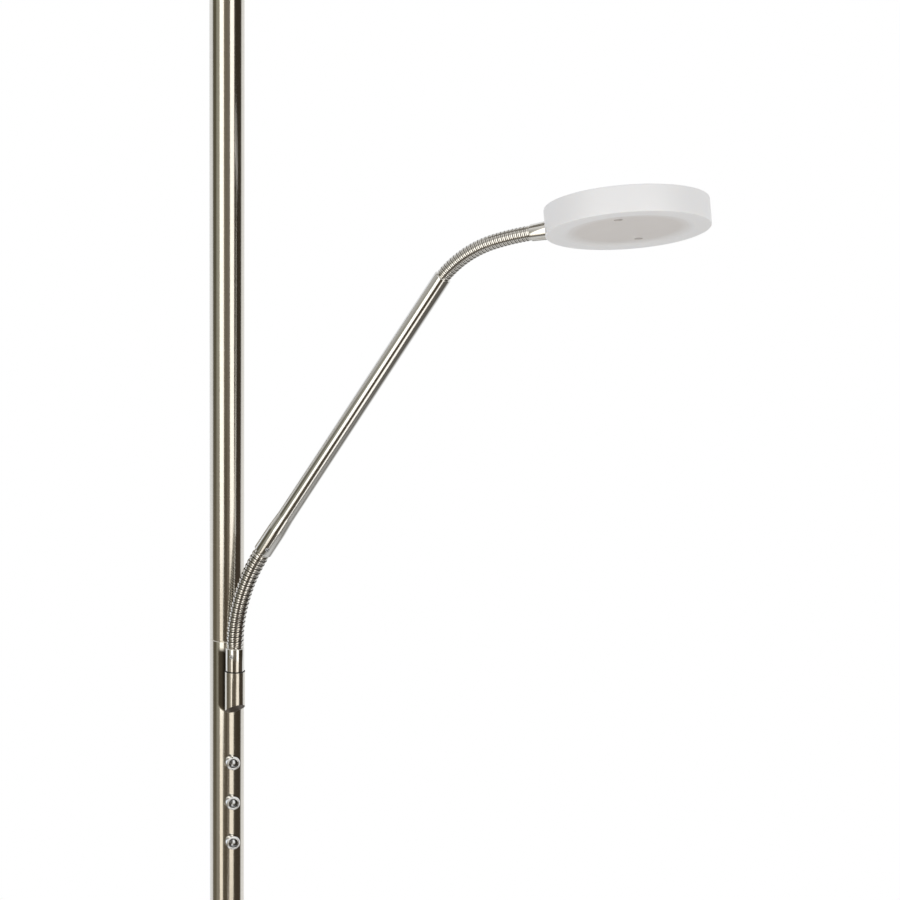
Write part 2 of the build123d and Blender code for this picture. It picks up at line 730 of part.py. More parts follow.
def opal_drum(plane, radius, depth, recess, dish_diameter, circle, count, first_angle):
    """White drum closed on its light side, with a ledge on the plate and bosses for its screws."""
    plate_face = recess + plate_thickness
    with BuildPart() as drum:
        with BuildSketch(plane):
            Circle(radius)
        extrude(amount=depth)
        rims = drum.edges().filter_by(GeomType.CIRCLE)
        fillet(rims, drum_edge_radius)
        with BuildSketch(plane):
            Circle(radius - drum_wall)
        extrude(amount=plate_face, mode=Mode.SUBTRACT)
        with BuildSketch(plane.offset(plate_face)):
            Circle(radius - drum_wall - drum_ledge)
            with screw_spots(circle, count, first_angle):
                Circle(screw_boss_diameter / 2, mode=Mode.SUBTRACT)
        extrude(amount=depth - drum_face - plate_face, mode=Mode.SUBTRACT)
        with BuildSketch(plane.offset(depth - dish_depth)):
            Circle(dish_diameter / 2)
        extrude(amount=dish_depth, mode=Mode.SUBTRACT)
        dish_floor = drum.faces().filter_by(GeomType.PLANE).sort_by(Axis(plane.origin, plane.z_dir))[-2]
        fillet(dish_floor.outer_wire().edges(), dish_edge_radius)
        with BuildSketch(plane.offset(depth)):
            with screw_spots(circle, count, first_angle):
                Circle(screw_head_diameter / 2 + loose_clearance)
        extrude(amount=-screw_sink, mode=Mode.SUBTRACT)
        with BuildSketch(plane.offset(depth)):
            with screw_spots(circle, count, first_angle):
                Circle(screw_diameter / 2 + loose_clearance)
        extrude(amount=-depth, mode=Mode.SUBTRACT)
    return drum


def drum_screws(plane, depth, recess, circle, count, first_angle):
    """Pan-head screws sunk in the drum's light side and threaded into the plate."""
    with BuildPart() as screws:
        with BuildSketch(plane.offset(depth - screw_sink)):
            with screw_spots(circle, count, first_angle):
                Circle(screw_head_diameter / 2)
        extrude(amount=screw_head_height)
        with BuildSketch(plane.offset(recess)):
            with screw_spots(circle, count, first_angle):
                Circle(screw_diameter / 2)
        extrude(amount=depth - screw_sink - recess)
    return screws


def led_board(plane, plate_face, diameter, bore, circle, count, first_angle):
    """Ring-shaped circuit board on the plate's light side, with holes for the drum's bosses."""
    with BuildPart() as board:
        with BuildSketch(plane.offset(plate_face)):
            Circle(diameter / 2)
            Circle(bore / 2, mode=Mode.SUBTRACT)
            with screw_spots(circle, count, first_angle):
                Circle(screw_boss_diameter / 2 + loose_clearance, mode=Mode.SUBTRACT)
        extrude(amount=board_thickness)
    return board


def led_group(plane, board_face, rings):
    """Square LEDs in rings on a board."""
    with BuildPart() as leds:
        for ring_radius, ring_count in rings:
            with BuildSketch(plane.offset(board_face)):
                with PolarLocations(ring_radius, round(ring_count), start_angle=180 / ring_count):
                    Rectangle(led_size, led_size)
            extrude(amount=led_height)
    return leds


# Reading head: drum, screws, back plate with the boss that the stem turns in, board and LEDs
head_plate_face = head_plate_recess + plate_thickness
head_screws_at = (head_screw_circle, 2, head_screw_angle)
pieces["head_drum"] = opal_drum(
    head_plane, head_radius, head_depth, head_plate_recess, head_dish_diameter, *head_screws_at
)
with BuildPart() as head_drum:
    add(pieces["head_drum"].part)
    with BuildSketch(stem_plane):
        Circle(stem_diameter / 2 + turn_gap)
    extrude(amount=stem_run, mode=Mode.SUBTRACT)
pieces["head_drum"] = head_drum
pieces["head_screws"] = drum_screws(head_plane, head_depth, head_plate_recess, *head_screws_at)

with BuildPart() as head_plate:
    with BuildSketch(head_plane.offset(head_plate_recess)):
        Circle(head_radius - drum_wall - loose_clearance)
        with screw_spots(*head_screws_at):
            Circle(screw_diameter / 2 + slide_clearance, mode=Mode.SUBTRACT)
    extrude(amount=plate_thickness)
    boss_middle = stem_boss_length / 2 - stem_boss_start
    with BuildSketch(head_plane.offset(head_plate_face)):
        with Locations((boss_middle, 0)):
            Rectangle(stem_boss_length, stem_boss_width)
    extrude(amount=stem_boss_height)
    with BuildSketch(stem_plane):
        Circle(stem_diameter / 2 + slide_clearance)
    extrude(amount=stem_nut_face + stem_nut_thickness, mode=Mode.SUBTRACT)
pieces["head_plate"] = head_plate

with BuildPart() as head_board:
    add(led_board(head_plane, head_plate_face, head_board_diameter, head_board_bore, *head_screws_at).part)
    notch_length = stem_boss_length + stem_nut_thickness + 2 * loose_clearance + stem_nut_width
    with BuildSketch(head_plane.offset(head_plate_face)):
        with Locations((notch_length / 2 - stem_boss_start, 0)):
            Rectangle(notch_length, stem_boss_width + 2 * loose_clearance)
    extrude(amount=board_thickness, mode=Mode.SUBTRACT)
pieces["head_board"] = head_board
head_led_rings = (
    (head_led_inner_radius, head_led_inner_count),
    (head_led_outer_radius, head_led_outer_count),
)
pieces["head_leds"] = led_group(head_plane, head_plate_face + board_thickness, head_led_rings)

# Uplighter hub: turned cone on top of the pole, with a spigot into it and a hollow shank for the pan
pan_base = pole_top + hub_height
hub_nut_base = pan_base + pan_sheet + clamp_washer_thickness
hub_shank_end = hub_nut_base + clamp_nut_height
with BuildPart() as uplight_hub:
    hub_outline = (
        (foot_bore / 2, pole_top),
        (spigot_bore, pole_top - foot_height),
        (spigot_bore, pole_top - foot_spigot_length),
        (spigot_radius, pole_top - foot_spigot_length),
        (spigot_radius, pole_top),
        (hub_waist_diameter / 2, pole_top),
        (hub_diameter / 2, pan_base - pole_end_chamfer),
        (hub_diameter / 2, pan_base),
        (foot_shank_diameter / 2, pan_base),
        (foot_shank_diameter / 2, hub_shank_end),
        (foot_bore / 2, hub_shank_end),
    )
    revolve(half_section(Plane.XY, *hub_outline), axis=Axis.Z)
pieces["uplight_hub"] = uplight_hub

# Uplighter pan: shallow steel dish under the drum, with the driver on its floor
uplight_radius = uplight_diameter / 2
pan_radius = uplight_radius - drum_wall - loose_clearance
pan_rim = pan_base + pan_depth
with BuildPart() as uplight_pan:
    with BuildSketch(Plane.XY.offset(pan_base)):
        Circle(pan_radius)
    extrude(amount=pan_depth)
    fillet(uplight_pan.edges().sort_by(Axis.Z)[0], pan_edge_radius)
    offset(amount=-pan_sheet, openings=uplight_pan.faces().sort_by(Axis.Z)[-1])
    with BuildSketch(Plane.XY.offset(pan_base)):
        Circle(foot_shank_diameter / 2 + loose_clearance)
    extrude(amount=pan_depth, mode=Mode.SUBTRACT)
pieces["uplight_pan"] = uplight_pan

with BuildPart() as uplight_washer:
    with BuildSketch(Plane.XY.offset(pan_base + pan_sheet)):
        Circle(clamp_washer_diameter / 2)
        Circle(foot_shank_diameter / 2 + loose_clearance, mode=Mode.SUBTRACT)
    extrude(amount=clamp_washer_thickness)
pieces["uplight_washer"] = uplight_washer

with BuildPart() as uplight_nut:
    with BuildSketch(Plane.XY.offset(hub_nut_base)):
        RegularPolygon(clamp_nut_width / 2, 6, major_radius=False)
        Circle(foot_shank_diameter / 2 + slide_clearance, mode=Mode.SUBTRACT)
    extrude(amount=clamp_nut_height)
pieces["uplight_nut"] = uplight_nut

with BuildPart() as led_driver:
    with BuildSketch(Plane.XY.offset(pan_base + pan_sheet)):
        with Locations((0, driver_offset)):
            Rectangle(driver_length, driver_width)
    extrude(amount=driver_height)
pieces["led_driver"] = led_driver

# Uplighter light: plate on the pan's rim, board and LEDs on it, and the opal drum over them
uplight_plane = Plane.XY.offset(pan_rim - uplight_skirt)
uplight_plate_face = uplight_skirt + plate_thickness
uplight_screws_at = (uplight_screw_circle, uplight_screw_count, 90)
pieces["uplight_drum"] = opal_drum(
    uplight_plane, uplight_radius, uplight_depth, uplight_skirt, uplight_dish_diameter, *uplight_screws_at
)
pieces["uplight_screws"] = drum_screws(uplight_plane, uplight_depth, uplight_skirt, *uplight_screws_at)
with BuildPart() as uplight_plate:
    with BuildSketch(uplight_plane.offset(uplight_skirt)):
        Circle(pan_radius)
        with screw_spots(*uplight_screws_at):
            Circle(screw_diameter / 2 + slide_clearance, mode=Mode.SUBTRACT)
    extrude(amount=plate_thickness)
pieces["uplight_plate"] = uplight_plate
pieces["uplight_board"] = led_board(
    uplight_plane, uplight_plate_face, uplight_board_diameter, uplight_board_bore, *uplight_screws_at
)
uplight_led_rings = (
    (uplight_led_inner_radius, uplight_led_inner_count),
    (uplight_led_outer_radius, uplight_led_outer_count),
)
pieces["uplight_leds"] = led_group(uplight_plane, uplight_plate_face + board_thickness, uplight_led_rings)

os.makedirs("parts", exist_ok=True)
for piece_name, piece in pieces.items():
    piece.part.label = piece_name
    export_step(piece.part, f"parts/{piece_name}.step")
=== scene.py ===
import math

import bmesh
import bpy
from mathutils import Matrix, Vector


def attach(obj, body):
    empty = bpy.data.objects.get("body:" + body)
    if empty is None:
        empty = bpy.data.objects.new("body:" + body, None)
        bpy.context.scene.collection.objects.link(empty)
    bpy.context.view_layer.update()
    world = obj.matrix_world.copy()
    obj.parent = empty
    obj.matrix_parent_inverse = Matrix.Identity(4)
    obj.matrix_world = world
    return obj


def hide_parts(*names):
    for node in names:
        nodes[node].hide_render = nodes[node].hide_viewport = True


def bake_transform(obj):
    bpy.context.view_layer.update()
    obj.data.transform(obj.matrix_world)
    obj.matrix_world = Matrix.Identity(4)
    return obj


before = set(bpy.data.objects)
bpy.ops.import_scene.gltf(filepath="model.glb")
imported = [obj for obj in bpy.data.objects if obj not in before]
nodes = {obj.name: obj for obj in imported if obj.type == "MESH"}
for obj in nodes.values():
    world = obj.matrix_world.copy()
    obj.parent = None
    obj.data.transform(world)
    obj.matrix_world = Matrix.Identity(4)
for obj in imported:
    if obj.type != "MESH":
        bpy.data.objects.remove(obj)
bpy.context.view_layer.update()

mm = 0.001


# Felt pad, cast-iron weight, washer and nut
# The weight keeps the lamp upright. The pad is glued under it so that it doesn't scratch the floor,
# and the washer and nut pull the pole's foot down on the weight.
def new_finish(name, **values):
    """Node material with one principled shader, whose even values are set on its own sockets."""
    finish = bpy.data.materials.new(name)
    finish.use_nodes = True
    shader = finish.node_tree.nodes["Principled BSDF"]
    for socket, value in values.items():
        shader.inputs[socket.replace("_", " ")].default_value = value
    return finish


def add(tree, kind, settings=None, *values, **inputs):
    """Node of a kind with its settings. Its inputs, in order or by name, are linked to sockets or set."""
    node = tree.nodes.new(kind)
    for name, value in (settings or {}).items():
        setattr(node, name, value)
    for label, value in [*enumerate(values), *inputs.items()]:
        socket = node.inputs[label.replace("_", " ") if isinstance(label, str) else label]
        if isinstance(value, bpy.types.NodeSocket):
            tree.links.new(value, socket)
        else:
            socket.default_value = value
    return node.outputs


def own_place(finish):
    """Coordinates that follow a piece however it is turned: stored on the mesh as it was made."""
    return add(finish.node_tree, "ShaderNodeAttribute", {"attribute_name": "own_place"})["Vector"]


def object_place(finish):
    """Coordinates of the lamp as a whole."""
    return add(finish.node_tree, "ShaderNodeTexCoord")["Object"]


def grain(finish, place, scale, detail=3.0):
    """Noise from 0 to 1 with this many cells per metre, one number or three along the axes."""
    scale = scale if isinstance(scale, tuple) else (scale, scale, scale)
    spread = add(finish.node_tree, "ShaderNodeMapping", Vector=place, Scale=scale)["Vector"]
    return add(finish.node_tree, "ShaderNodeTexNoise", Vector=spread, Scale=1.0, Detail=detail)["Fac"]


def ramp(finish, value, *stops):
    """Colour that runs through stops of (position, (red, green, blue)) as the value grows."""
    node = finish.node_tree.nodes.new("ShaderNodeValToRGB")
    band = node.color_ramp
    while len(band.elements) < len(stops):
        band.elements.new(1.0)
    for element, (position, colour) in zip(band.elements, stops):
        element.position = position
        element.color = (*colour, 1.0)
    finish.node_tree.links.new(value, node.inputs["Fac"])
    return node.outputs["Color"]


def span(finish, value, low, high, start=0.3, end=0.7):
    """Number that goes from low to high as the value goes from start to end."""
    limits = {"From_Min": start, "From_Max": end, "To_Min": low, "To_Max": high}
    return add(finish.node_tree, "ShaderNodeMapRange", Value=value, **limits)["Result"]


def apply_to(finish, socket, value):
    """Feeds a colour or number into the shader."""
    finish.node_tree.links.new(value, finish.node_tree.nodes["Principled BSDF"].inputs[socket])


def tint(finish, value, dark, light, end=0.7):
    """Base colour that goes from dark to light with a grain."""
    apply_to(finish, "Base Color", ramp(finish, value, (0.3, dark), (end, light)))


def roughen(finish, value, low, high):
    """Roughness that goes from low to high with a grain."""
    apply_to(finish, "Roughness", span(finish, value, low, high))


def emboss(finish, height, depth):
    """Fine relief of this depth in metres."""
    bump = add(finish.node_tree, "ShaderNodeBump", Strength=1.0, Distance=depth, Height=height)
    apply_to(finish, "Normal", bump["Normal"])


def dress(finish, *names):
    """Gives carried-over solids their finish."""
    for name in names:
        mesh = nodes[name].data
        mesh.materials.clear()
        mesh.materials.append(finish)


felt = new_finish("felt", Roughness=0.95, Sheen_Weight=0.3)
fibres = grain(felt, object_place(felt), 900, 6.0)
tint(felt, fibres, (0.03, 0.03, 0.031), (0.09, 0.088, 0.085))
emboss(felt, fibres, 0.0004)
dress(felt, "base_pad")

cast_iron = new_finish("cast_iron", Metallic=0.4)
casting = grain(cast_iron, object_place(cast_iron), 260, 8.0)
tint(cast_iron, casting, (0.05, 0.05, 0.05), (0.15, 0.145, 0.14), end=0.75)
roughen(cast_iron, casting, 0.55, 0.85)
emboss(cast_iron, casting, 0.0006)
dress(cast_iron, "base_weight")

zinc_steel = new_finish("zinc_steel", Metallic=1.0)
plating = grain(zinc_steel, object_place(zinc_steel), 320, 4.0)
tint(zinc_steel, plating, (0.50, 0.52, 0.55), (0.66, 0.67, 0.69))
roughen(zinc_steel, plating, 0.25, 0.42)
dress(zinc_steel, "base_washer", "base_nut")


# Base cover
# Pressed steel pan, nickel plated and brushed, dropped over the weight. The pole's foot clamps it in
# the middle, and the cord's grommet sits in a hole in its back.
def rounded(outline, steps=6):
    """Closed outline of (radius, height) or (radius, height, corner radius) with its corners rounded."""
    points = []
    for i, (r, z, *corner) in enumerate(outline):
        here = Vector((r, z))
        if not corner:
            points.append(here)
            continue
        back = (Vector(outline[i - 1][:2]) - here).normalized()
        ahead = (Vector(outline[(i + 1) % len(outline)][:2]) - here).normalized()
        half = back.angle(ahead) / 2
        middle = here + (back + ahead).normalized() * corner[0] / math.sin(half)
        first = here + back * corner[0] / math.tan(half) - middle
        last = here + ahead * corner[0] / math.tan(half) - middle
        start = math.atan2(first.y, first.x)
        turn = (math.atan2(last.y, last.x) - start + math.pi) % math.tau - math.pi
        for k in range(steps + 1):
            angle = start + turn * k / steps
            points.append(middle + Vector((math.cos(angle), math.sin(angle))) * corner[0])
    return points


def linked(name, data):
    """New object in the scene."""
    thing = bpy.data.objects.new(name, data)
    bpy.context.scene.collection.objects.link(thing)
    return thing


def link_new(name, shape):
    """Object made from an edited mesh, which is freed."""
    bmesh.ops.recalc_face_normals(shape, faces=shape.faces)
    mesh = bpy.data.meshes.new(name)
    shape.to_mesh(mesh)
    shape.free()
    return linked(name, mesh)


def turned(name, outline, sides=144):
    """Piece turned round its Z axis from a closed outline in millimetres."""
    shape = bmesh.new()
    rings = []
    for r, z in rounded(outline):
        if r < 1e-6:
            rings.append([shape.verts.new((0, 0, z * mm))] * sides)
            continue
        turns = [math.tau * i / sides for i in range(sides)]
        rings.append([shape.verts.new((r * mm * math.cos(a), r * mm * math.sin(a), z * mm)) for a in turns])
    for low, high in zip(rings, rings[1:] + rings[:1]):
        for i in range(sides):
            j = (i + 1) % sides
            corners = list(dict.fromkeys((low[i], low[j], high[j], high[i])))
            if len(corners) > 2:
                shape.faces.new(corners)
    return link_new(name, shape)


def axes(x, y, z):
    """Turn that lays X, Y and Z along three directions."""
    return Matrix((x, y, z)).transposed().to_4x4()


def standing(point, up, side):
    """Place with Z along up and X along side, at a point in millimetres."""
    up = Vector(up).normalized()
    side = (Vector(side) - up * up.dot(Vector(side))).normalized()
    return Matrix.Translation(Vector(point) * mm) @ axes(side, up.cross(side), up)


def work_in(piece):
    """Works a piece's modifiers into its plain mesh."""
    bpy.context.view_layer.update()
    whole = piece.evaluated_get(bpy.context.evaluated_depsgraph_get())
    mesh = bpy.data.meshes.new_from_object(whole)
    piece.modifiers.clear()
    piece.data = mesh


def carve(piece, *tools, operation="DIFFERENCE"):
    """Cuts tools out of a piece, or joins them to it, and throws the tools away."""
    for tool in tools:
        step = piece.modifiers.new("carve", "BOOLEAN")
        step.operation = operation
        step.solver = "EXACT"
        step.object = tool
    work_in(piece)
    for tool in tools:
        bpy.data.objects.remove(tool)


def rod(radius, start, end, place):
    """Round tool for holes, along Z of its place, in millimetres."""
    tool = turned("tool", [(0, start), (radius, start), (radius, end), (0, end)], 64)
    tool.data.transform(place)
    return tool


def settle(piece, place, finish, body, slot, *replaced):
    """Keeps a piece's own coordinates for its finish, puts it in place and ties it to the lamp."""
    mesh = piece.data
    if "own_place" not in mesh.attributes:
        own = mesh.attributes.new("own_place", "FLOAT_VECTOR", "POINT")
        own.data.foreach_set("vector", [c for v in mesh.vertices for c in v.co])
    mesh.transform(place)
    mesh.shade_smooth()
    mesh.set_sharp_from_angle(angle=math.radians(32))
    mesh.materials.clear()
    mesh.materials.append(finish)
    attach(piece, body)
    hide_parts(*replaced)


def vector_of(tree, operation, *values):
    """Vector, length or dot product worked out in a node tree."""
    outputs = add(tree, "ShaderNodeVectorMath", {"operation": operation}, *values)
    return outputs["Value" if operation in ("LENGTH", "DOT_PRODUCT") else "Vector"]


upright = Matrix.Identity(4)
base_radius, base_top, sheet = 140.0, 22.0, 1.5
gland_height, gland_hole = 11.5, 5.05
gland_place = standing((0, base_radius, gland_height), (0, 1, 0), (1, 0, 0))

spun_nickel = new_finish("spun_nickel", Metallic=1.0)
spun_radius = vector_of(spun_nickel.node_tree, "LENGTH", own_place(spun_nickel))
spun_rings = grain(spun_nickel, spun_radius, 2600, 5.0)
tint(spun_nickel, spun_rings, (0.60, 0.575, 0.52), (0.68, 0.655, 0.60))
roughen(spun_nickel, spun_rings, 0.24, 0.34)
emboss(spun_nickel, spun_rings, 0.00002)

base_cover = turned(
    "base_cover_dressed",
    [
        (base_radius, 1.0, 0.6), (base_radius, base_top, 5.0), (6.2, base_top),
        (6.2, base_top - sheet), (base_radius - sheet, base_top - sheet, 3.5),
        (base_radius - sheet, 1.0, 0.6),
    ],
    240,
)
carve(base_cover, rod(gland_hole, -5, 3, gland_place))
settle(base_cover, upright, spun_nickel, "stand", "satin_nickel", "base_cover")

# Cord grommet
# Soft rubber ring pressed into the back of the cover, where the mains cord goes in.
rubber = new_finish("rubber", Roughness=0.7)
mould = grain(rubber, own_place(rubber), 700, 5.0)
tint(rubber, mould, (0.018, 0.018, 0.018), (0.045, 0.045, 0.045))
emboss(rubber, mould, 0.0001)
grommet = turned(
    "cord_grommet",
    [
        (3.5, -3.775, 0.4), (7.0, -3.775, 0.5), (7.0, -1.775, 0.3), (5.0, -1.775), (5.0, 0.1),
        (7.0, 0.1, 0.3), (7.0, 2.0, 0.9), (3.5, 2.0, 0.6),
    ],
    96,
)
settle(grommet, gland_place, rubber, "stand", "rubber", "cord_gland")

# Pole: foot, three tubes and the couplers inside their joints
# Nickel-plated steel tube, brushed round and round, stacked end to end. The chamfered ends leave a
# fine groove at each joint. The foot is turned from solid and holds the lowest tube. Shade is painted
# on the middle tube beside the bracket, brown, and near black next to it.
satin_nickel = new_finish("satin_nickel", Metallic=1.0)
brushing = grain(satin_nickel, own_place(satin_nickel), (18, 18, 2200), 4.0)
cloud = grain(satin_nickel, own_place(satin_nickel), (30, 30, 6), 2.0)
tint(satin_nickel, brushing, (0.63, 0.60, 0.54), (0.69, 0.66, 0.60))
roughen(satin_nickel, cloud, 0.11, 0.16)
emboss(satin_nickel, brushing, 0.000006)

pole_radius, pole_bore, foot_top = 12.5, 11.0, 26.0
lower_seam, seam, pole_top = 568.0, 1110.0, 1750.0
end_chamfer = 0.5
foot = turned(
    "pole_foot_dressed",
    [
        (4.0, 4.5), (6.0, 4.5, 0.5), (6.0, base_top), (17.0, base_top, 0.3), (17.0, foot_top, 1.2),
        (10.95, foot_top), (10.95, foot_top + 40, 0.6), (8.95, foot_top + 40), (8.95, foot_top + 4),
        (4.0, foot_top),
    ],
)
settle(foot, upright, satin_nickel, "stand", "satin_nickel", "pole_foot")


def pole_tube(name, low, high):
    """Length of tube with its outer edges chamfered."""
    return turned(
        name,
        [
            (pole_bore, low), (pole_radius - end_chamfer, low), (pole_radius, low + end_chamfer, 0.25),
            (pole_radius, high - end_chamfer, 0.25), (pole_radius - end_chamfer, high),
            (pole_bore, high),
        ],
        192,
    )


button_heights = (1020.0, 990.0, 960.0)
bracket_offset, nipple_height = 20.4, 1073.0
nipple_hole, collar_hole = 4.05, 4.45
front = (0, -1, 0)
wall_holes = [(nipple_height, nipple_hole), *[(height, collar_hole) for height in button_heights]]


def number_of(tree, operation, *values):
    """Number worked out in a node tree."""
    return add(tree, "ShaderNodeMath", {"operation": operation}, *values)["Value"]


def mixed(finish, share, first, second):
    """Colour or number between two, each a socket or a value."""
    kind = "FLOAT" if isinstance(second, float) else "RGBA"
    mix = add(finish.node_tree, "ShaderNodeMix", {"data_type": kind}, Factor=share, A=first, B=second)
    return mix["Result"]


def mar(finish, share, colour, roughness):
    """Gives a finish another colour and roughness where the share is 1."""
    shader = finish.node_tree.nodes["Principled BSDF"]
    for socket, marred in (("Base Color", colour), ("Roughness", roughness)):
        clean = shader.inputs[socket].links[0].from_socket
        apply_to(finish, socket, mixed(finish, share, clean, marred))


# Heights of the painted shade beside the bracket, then its distances from the middle of the rod that is
# welded on, in metres
shade_foot, shade_top, shade_end = 1.0637, 1.1025, 1.1060
shade_core, shade_rim, fading, clear = 0.0112, 0.0158, 0.0152, 0.0159
squeeze_below = 2.0
# Painted shade: a copy of the satin nickel that goes brown beside the bracket, and near black next to it.
stained_nickel = satin_nickel.copy()
stained_nickel.name = "stained_nickel"
shade_tree = stained_nickel.node_tree
shade_place = add(shade_tree, "ShaderNodeSeparateXYZ", Vector=own_place(stained_nickel))
below = number_of(shade_tree, "SUBTRACT", shade_foot, shade_place["Z"])
below = number_of(shade_tree, "MAXIMUM", below, 0.0)
below = number_of(shade_tree, "MULTIPLY", below, squeeze_below)
ahead = number_of(shade_tree, "ADD", shade_place["Y"], bracket_offset * mm)
from_rod = add(shade_tree, "ShaderNodeCombineXYZ", X=shade_place["X"], Y=ahead, Z=below)["Vector"]
from_rod = vector_of(shade_tree, "LENGTH", from_rod)
painted_shade = number_of(
    shade_tree,
    "MULTIPLY",
    span(stained_nickel, from_rod, 1.0, 0.0, fading, clear),
    span(stained_nickel, shade_place["Z"], 1.0, 0.0, shade_top, shade_end),
)
shade_colour = ramp(
    stained_nickel,
    span(stained_nickel, from_rod, 0.0, 1.0, shade_core, shade_rim),
    (0.0, (0.026, 0.021, 0.015)),
    (0.5, (0.052, 0.043, 0.030)),
    (0.67, (0.10, 0.083, 0.058)),
    (0.85, (0.42, 0.39, 0.33)),
    (1.0, (0.66, 0.63, 0.57)),
)
mar(stained_nickel, painted_shade, shade_colour, 0.3)

pole_ends = (foot_top, lower_seam, seam, pole_top)
pole_finishes = (satin_nickel, stained_nickel, satin_nickel)
for name, low, high, finish in zip(("lower", "middle", "upper"), pole_ends, pole_ends[1:], pole_finishes):
    tube = pole_tube("pole_tube_" + name + "_dressed", low, high)
    if name == "middle":
        carve(tube, *[rod(r, 5, 16, standing((0, 0, z), front, (1, 0, 0))) for z, r in wall_holes])
    settle(tube, upright, finish, "stand", "satin_nickel", "pole_tube_" + name)
dress(zinc_steel, "pole_coupler_lower", "pole_coupler_upper")

# Push dimmers: collars, ring nuts, buttons, switches and their board
# Each chrome-plated collar is seated on the pole and held by a ring nut inside. The domed button
# slides in it and presses a small switch on the circuit board that stands inside the pole.
bright_nickel = new_finish("bright_nickel", Metallic=1.0)
shine = grain(bright_nickel, own_place(bright_nickel), (180, 180, 60))
tint(bright_nickel, shine, (0.70, 0.685, 0.65), (0.76, 0.745, 0.71))
roughen(bright_nickel, shine, 0.07, 0.12)


def axis_distance(finish):
    """Distance from the Z axis of a piece's own coordinates, in metres."""
    flat = vector_of(finish.node_tree, "MULTIPLY", own_place(finish), (1, 1, 0))
    return vector_of(finish.node_tree, "LENGTH", flat)


chrome = new_finish("chrome", Metallic=1.0)
polish = grain(chrome, own_place(chrome), 400)
# Painted shade: the collars go near black where they meet the pole, and turn chrome about a millimetre out
# from it.
chrome_colour, foot_shade_colour = (0.86, 0.865, 0.875), (0.06, 0.058, 0.055)
foot_shade_end, foot_shade_fade = (pole_radius + 0.55) * mm, (pole_radius + 0.95) * mm
from_pole = span(chrome, axis_distance(chrome), 0.0, 1.0, foot_shade_end, foot_shade_fade)
apply_to(chrome, "Base Color", ramp(chrome, from_pole, (0.0, foot_shade_colour), (1.0, chrome_colour)))
roughen(chrome, polish, 0.03, 0.06)


def node_tree(name, inputs):
    """Empty Geometry Nodes tree with a geometry in, named inputs and a geometry out."""
    tree = bpy.data.node_groups.new(name, "GeometryNodeTree")
    tree.interface.new_socket("Geometry", in_out="INPUT", socket_type="NodeSocketGeometry")
    for label, kind in inputs.items():
        tree.interface.new_socket(label, in_out="INPUT", socket_type="NodeSocket" + kind)
    tree.interface.new_socket("Geometry", in_out="OUTPUT", socket_type="NodeSocketGeometry")
    return tree, tree.nodes.new("NodeGroupInput").outputs, tree.nodes.new("NodeGroupOutput").inputs


def grow(host, tree, **inputs):
    """Runs a tree on a piece and keeps the result as its plain mesh."""
    step = host.modifiers.new("grow", "NODES")
    step.node_group = tree
    for item in tree.interface.items_tree:
        label = item.name.replace(" ", "_")
        if item.in_out == "INPUT" and label in inputs:
            step[item.identifier] = inputs[label]
    work_in(host)


def end_tree(tree, inputs, outputs, geometry):
    """Ends a tree with plain geometry in the finish that the piece is given."""
    real = add(tree, "GeometryNodeRealizeInstances", Geometry=geometry)["Geometry"]
    done = add(tree, "GeometryNodeSetMaterial", Geometry=real, Material=inputs["Finish"])["Geometry"]
    tree.links.new(done, outputs["Geometry"])


row_inputs = {"Count": "Int", "Step": "Vector", "Finish": "Material"}
row_tree, row_in, row_out = node_tree("row_of_collars", row_inputs)
row_line = add(row_tree, "GeometryNodeMeshLine", Count=row_in["Count"], Offset=row_in["Step"])["Mesh"]
row_copies = add(row_tree, "GeometryNodeInstanceOnPoints", Points=row_line, Instance=row_in["Geometry"])
end_tree(row_tree, row_in, row_out, row_copies["Instances"])

shank_radius, collar_radius, seat_depth = 4.4, 5.35, 0.4
collars = turned(
    "dimmer_collars_dressed",
    [
        (2.2, 0.0), (3.0, 0.0), (3.0, -6.0), (shank_radius, -6.0, 0.3), (shank_radius, -seat_depth),
        (collar_radius, -seat_depth), (collar_radius, 0.9, 0.6), (5.0, 4.2, 0.5), (4.35, 5.0, 0.25),
        (4.05, 5.0, 0.1), (4.05, 1.3), (2.2, 1.3),
    ],
    96,
)
for vertex in collars.data.vertices:
    on_seat = abs(vertex.co.z + seat_depth * mm) < 1e-7
    if on_seat and vertex.co.xy.length > (shank_radius - 0.1) * mm:
        vertex.co.z = math.sqrt((pole_radius * mm) ** 2 - vertex.co.x**2) - pole_radius * mm
collars.data.transform(standing((0, -pole_radius, button_heights[0]), front, (1, 0, 0)))
collar_step = Vector((0, 0, button_heights[1] - button_heights[0])) * mm
grow(collars, row_tree, Count=len(button_heights), Step=collar_step, Finish=chrome)
settle(collars, upright, chrome, "stand", "polished_nickel", "dimmer_collars")
dress(zinc_steel, "dimmer_nuts")

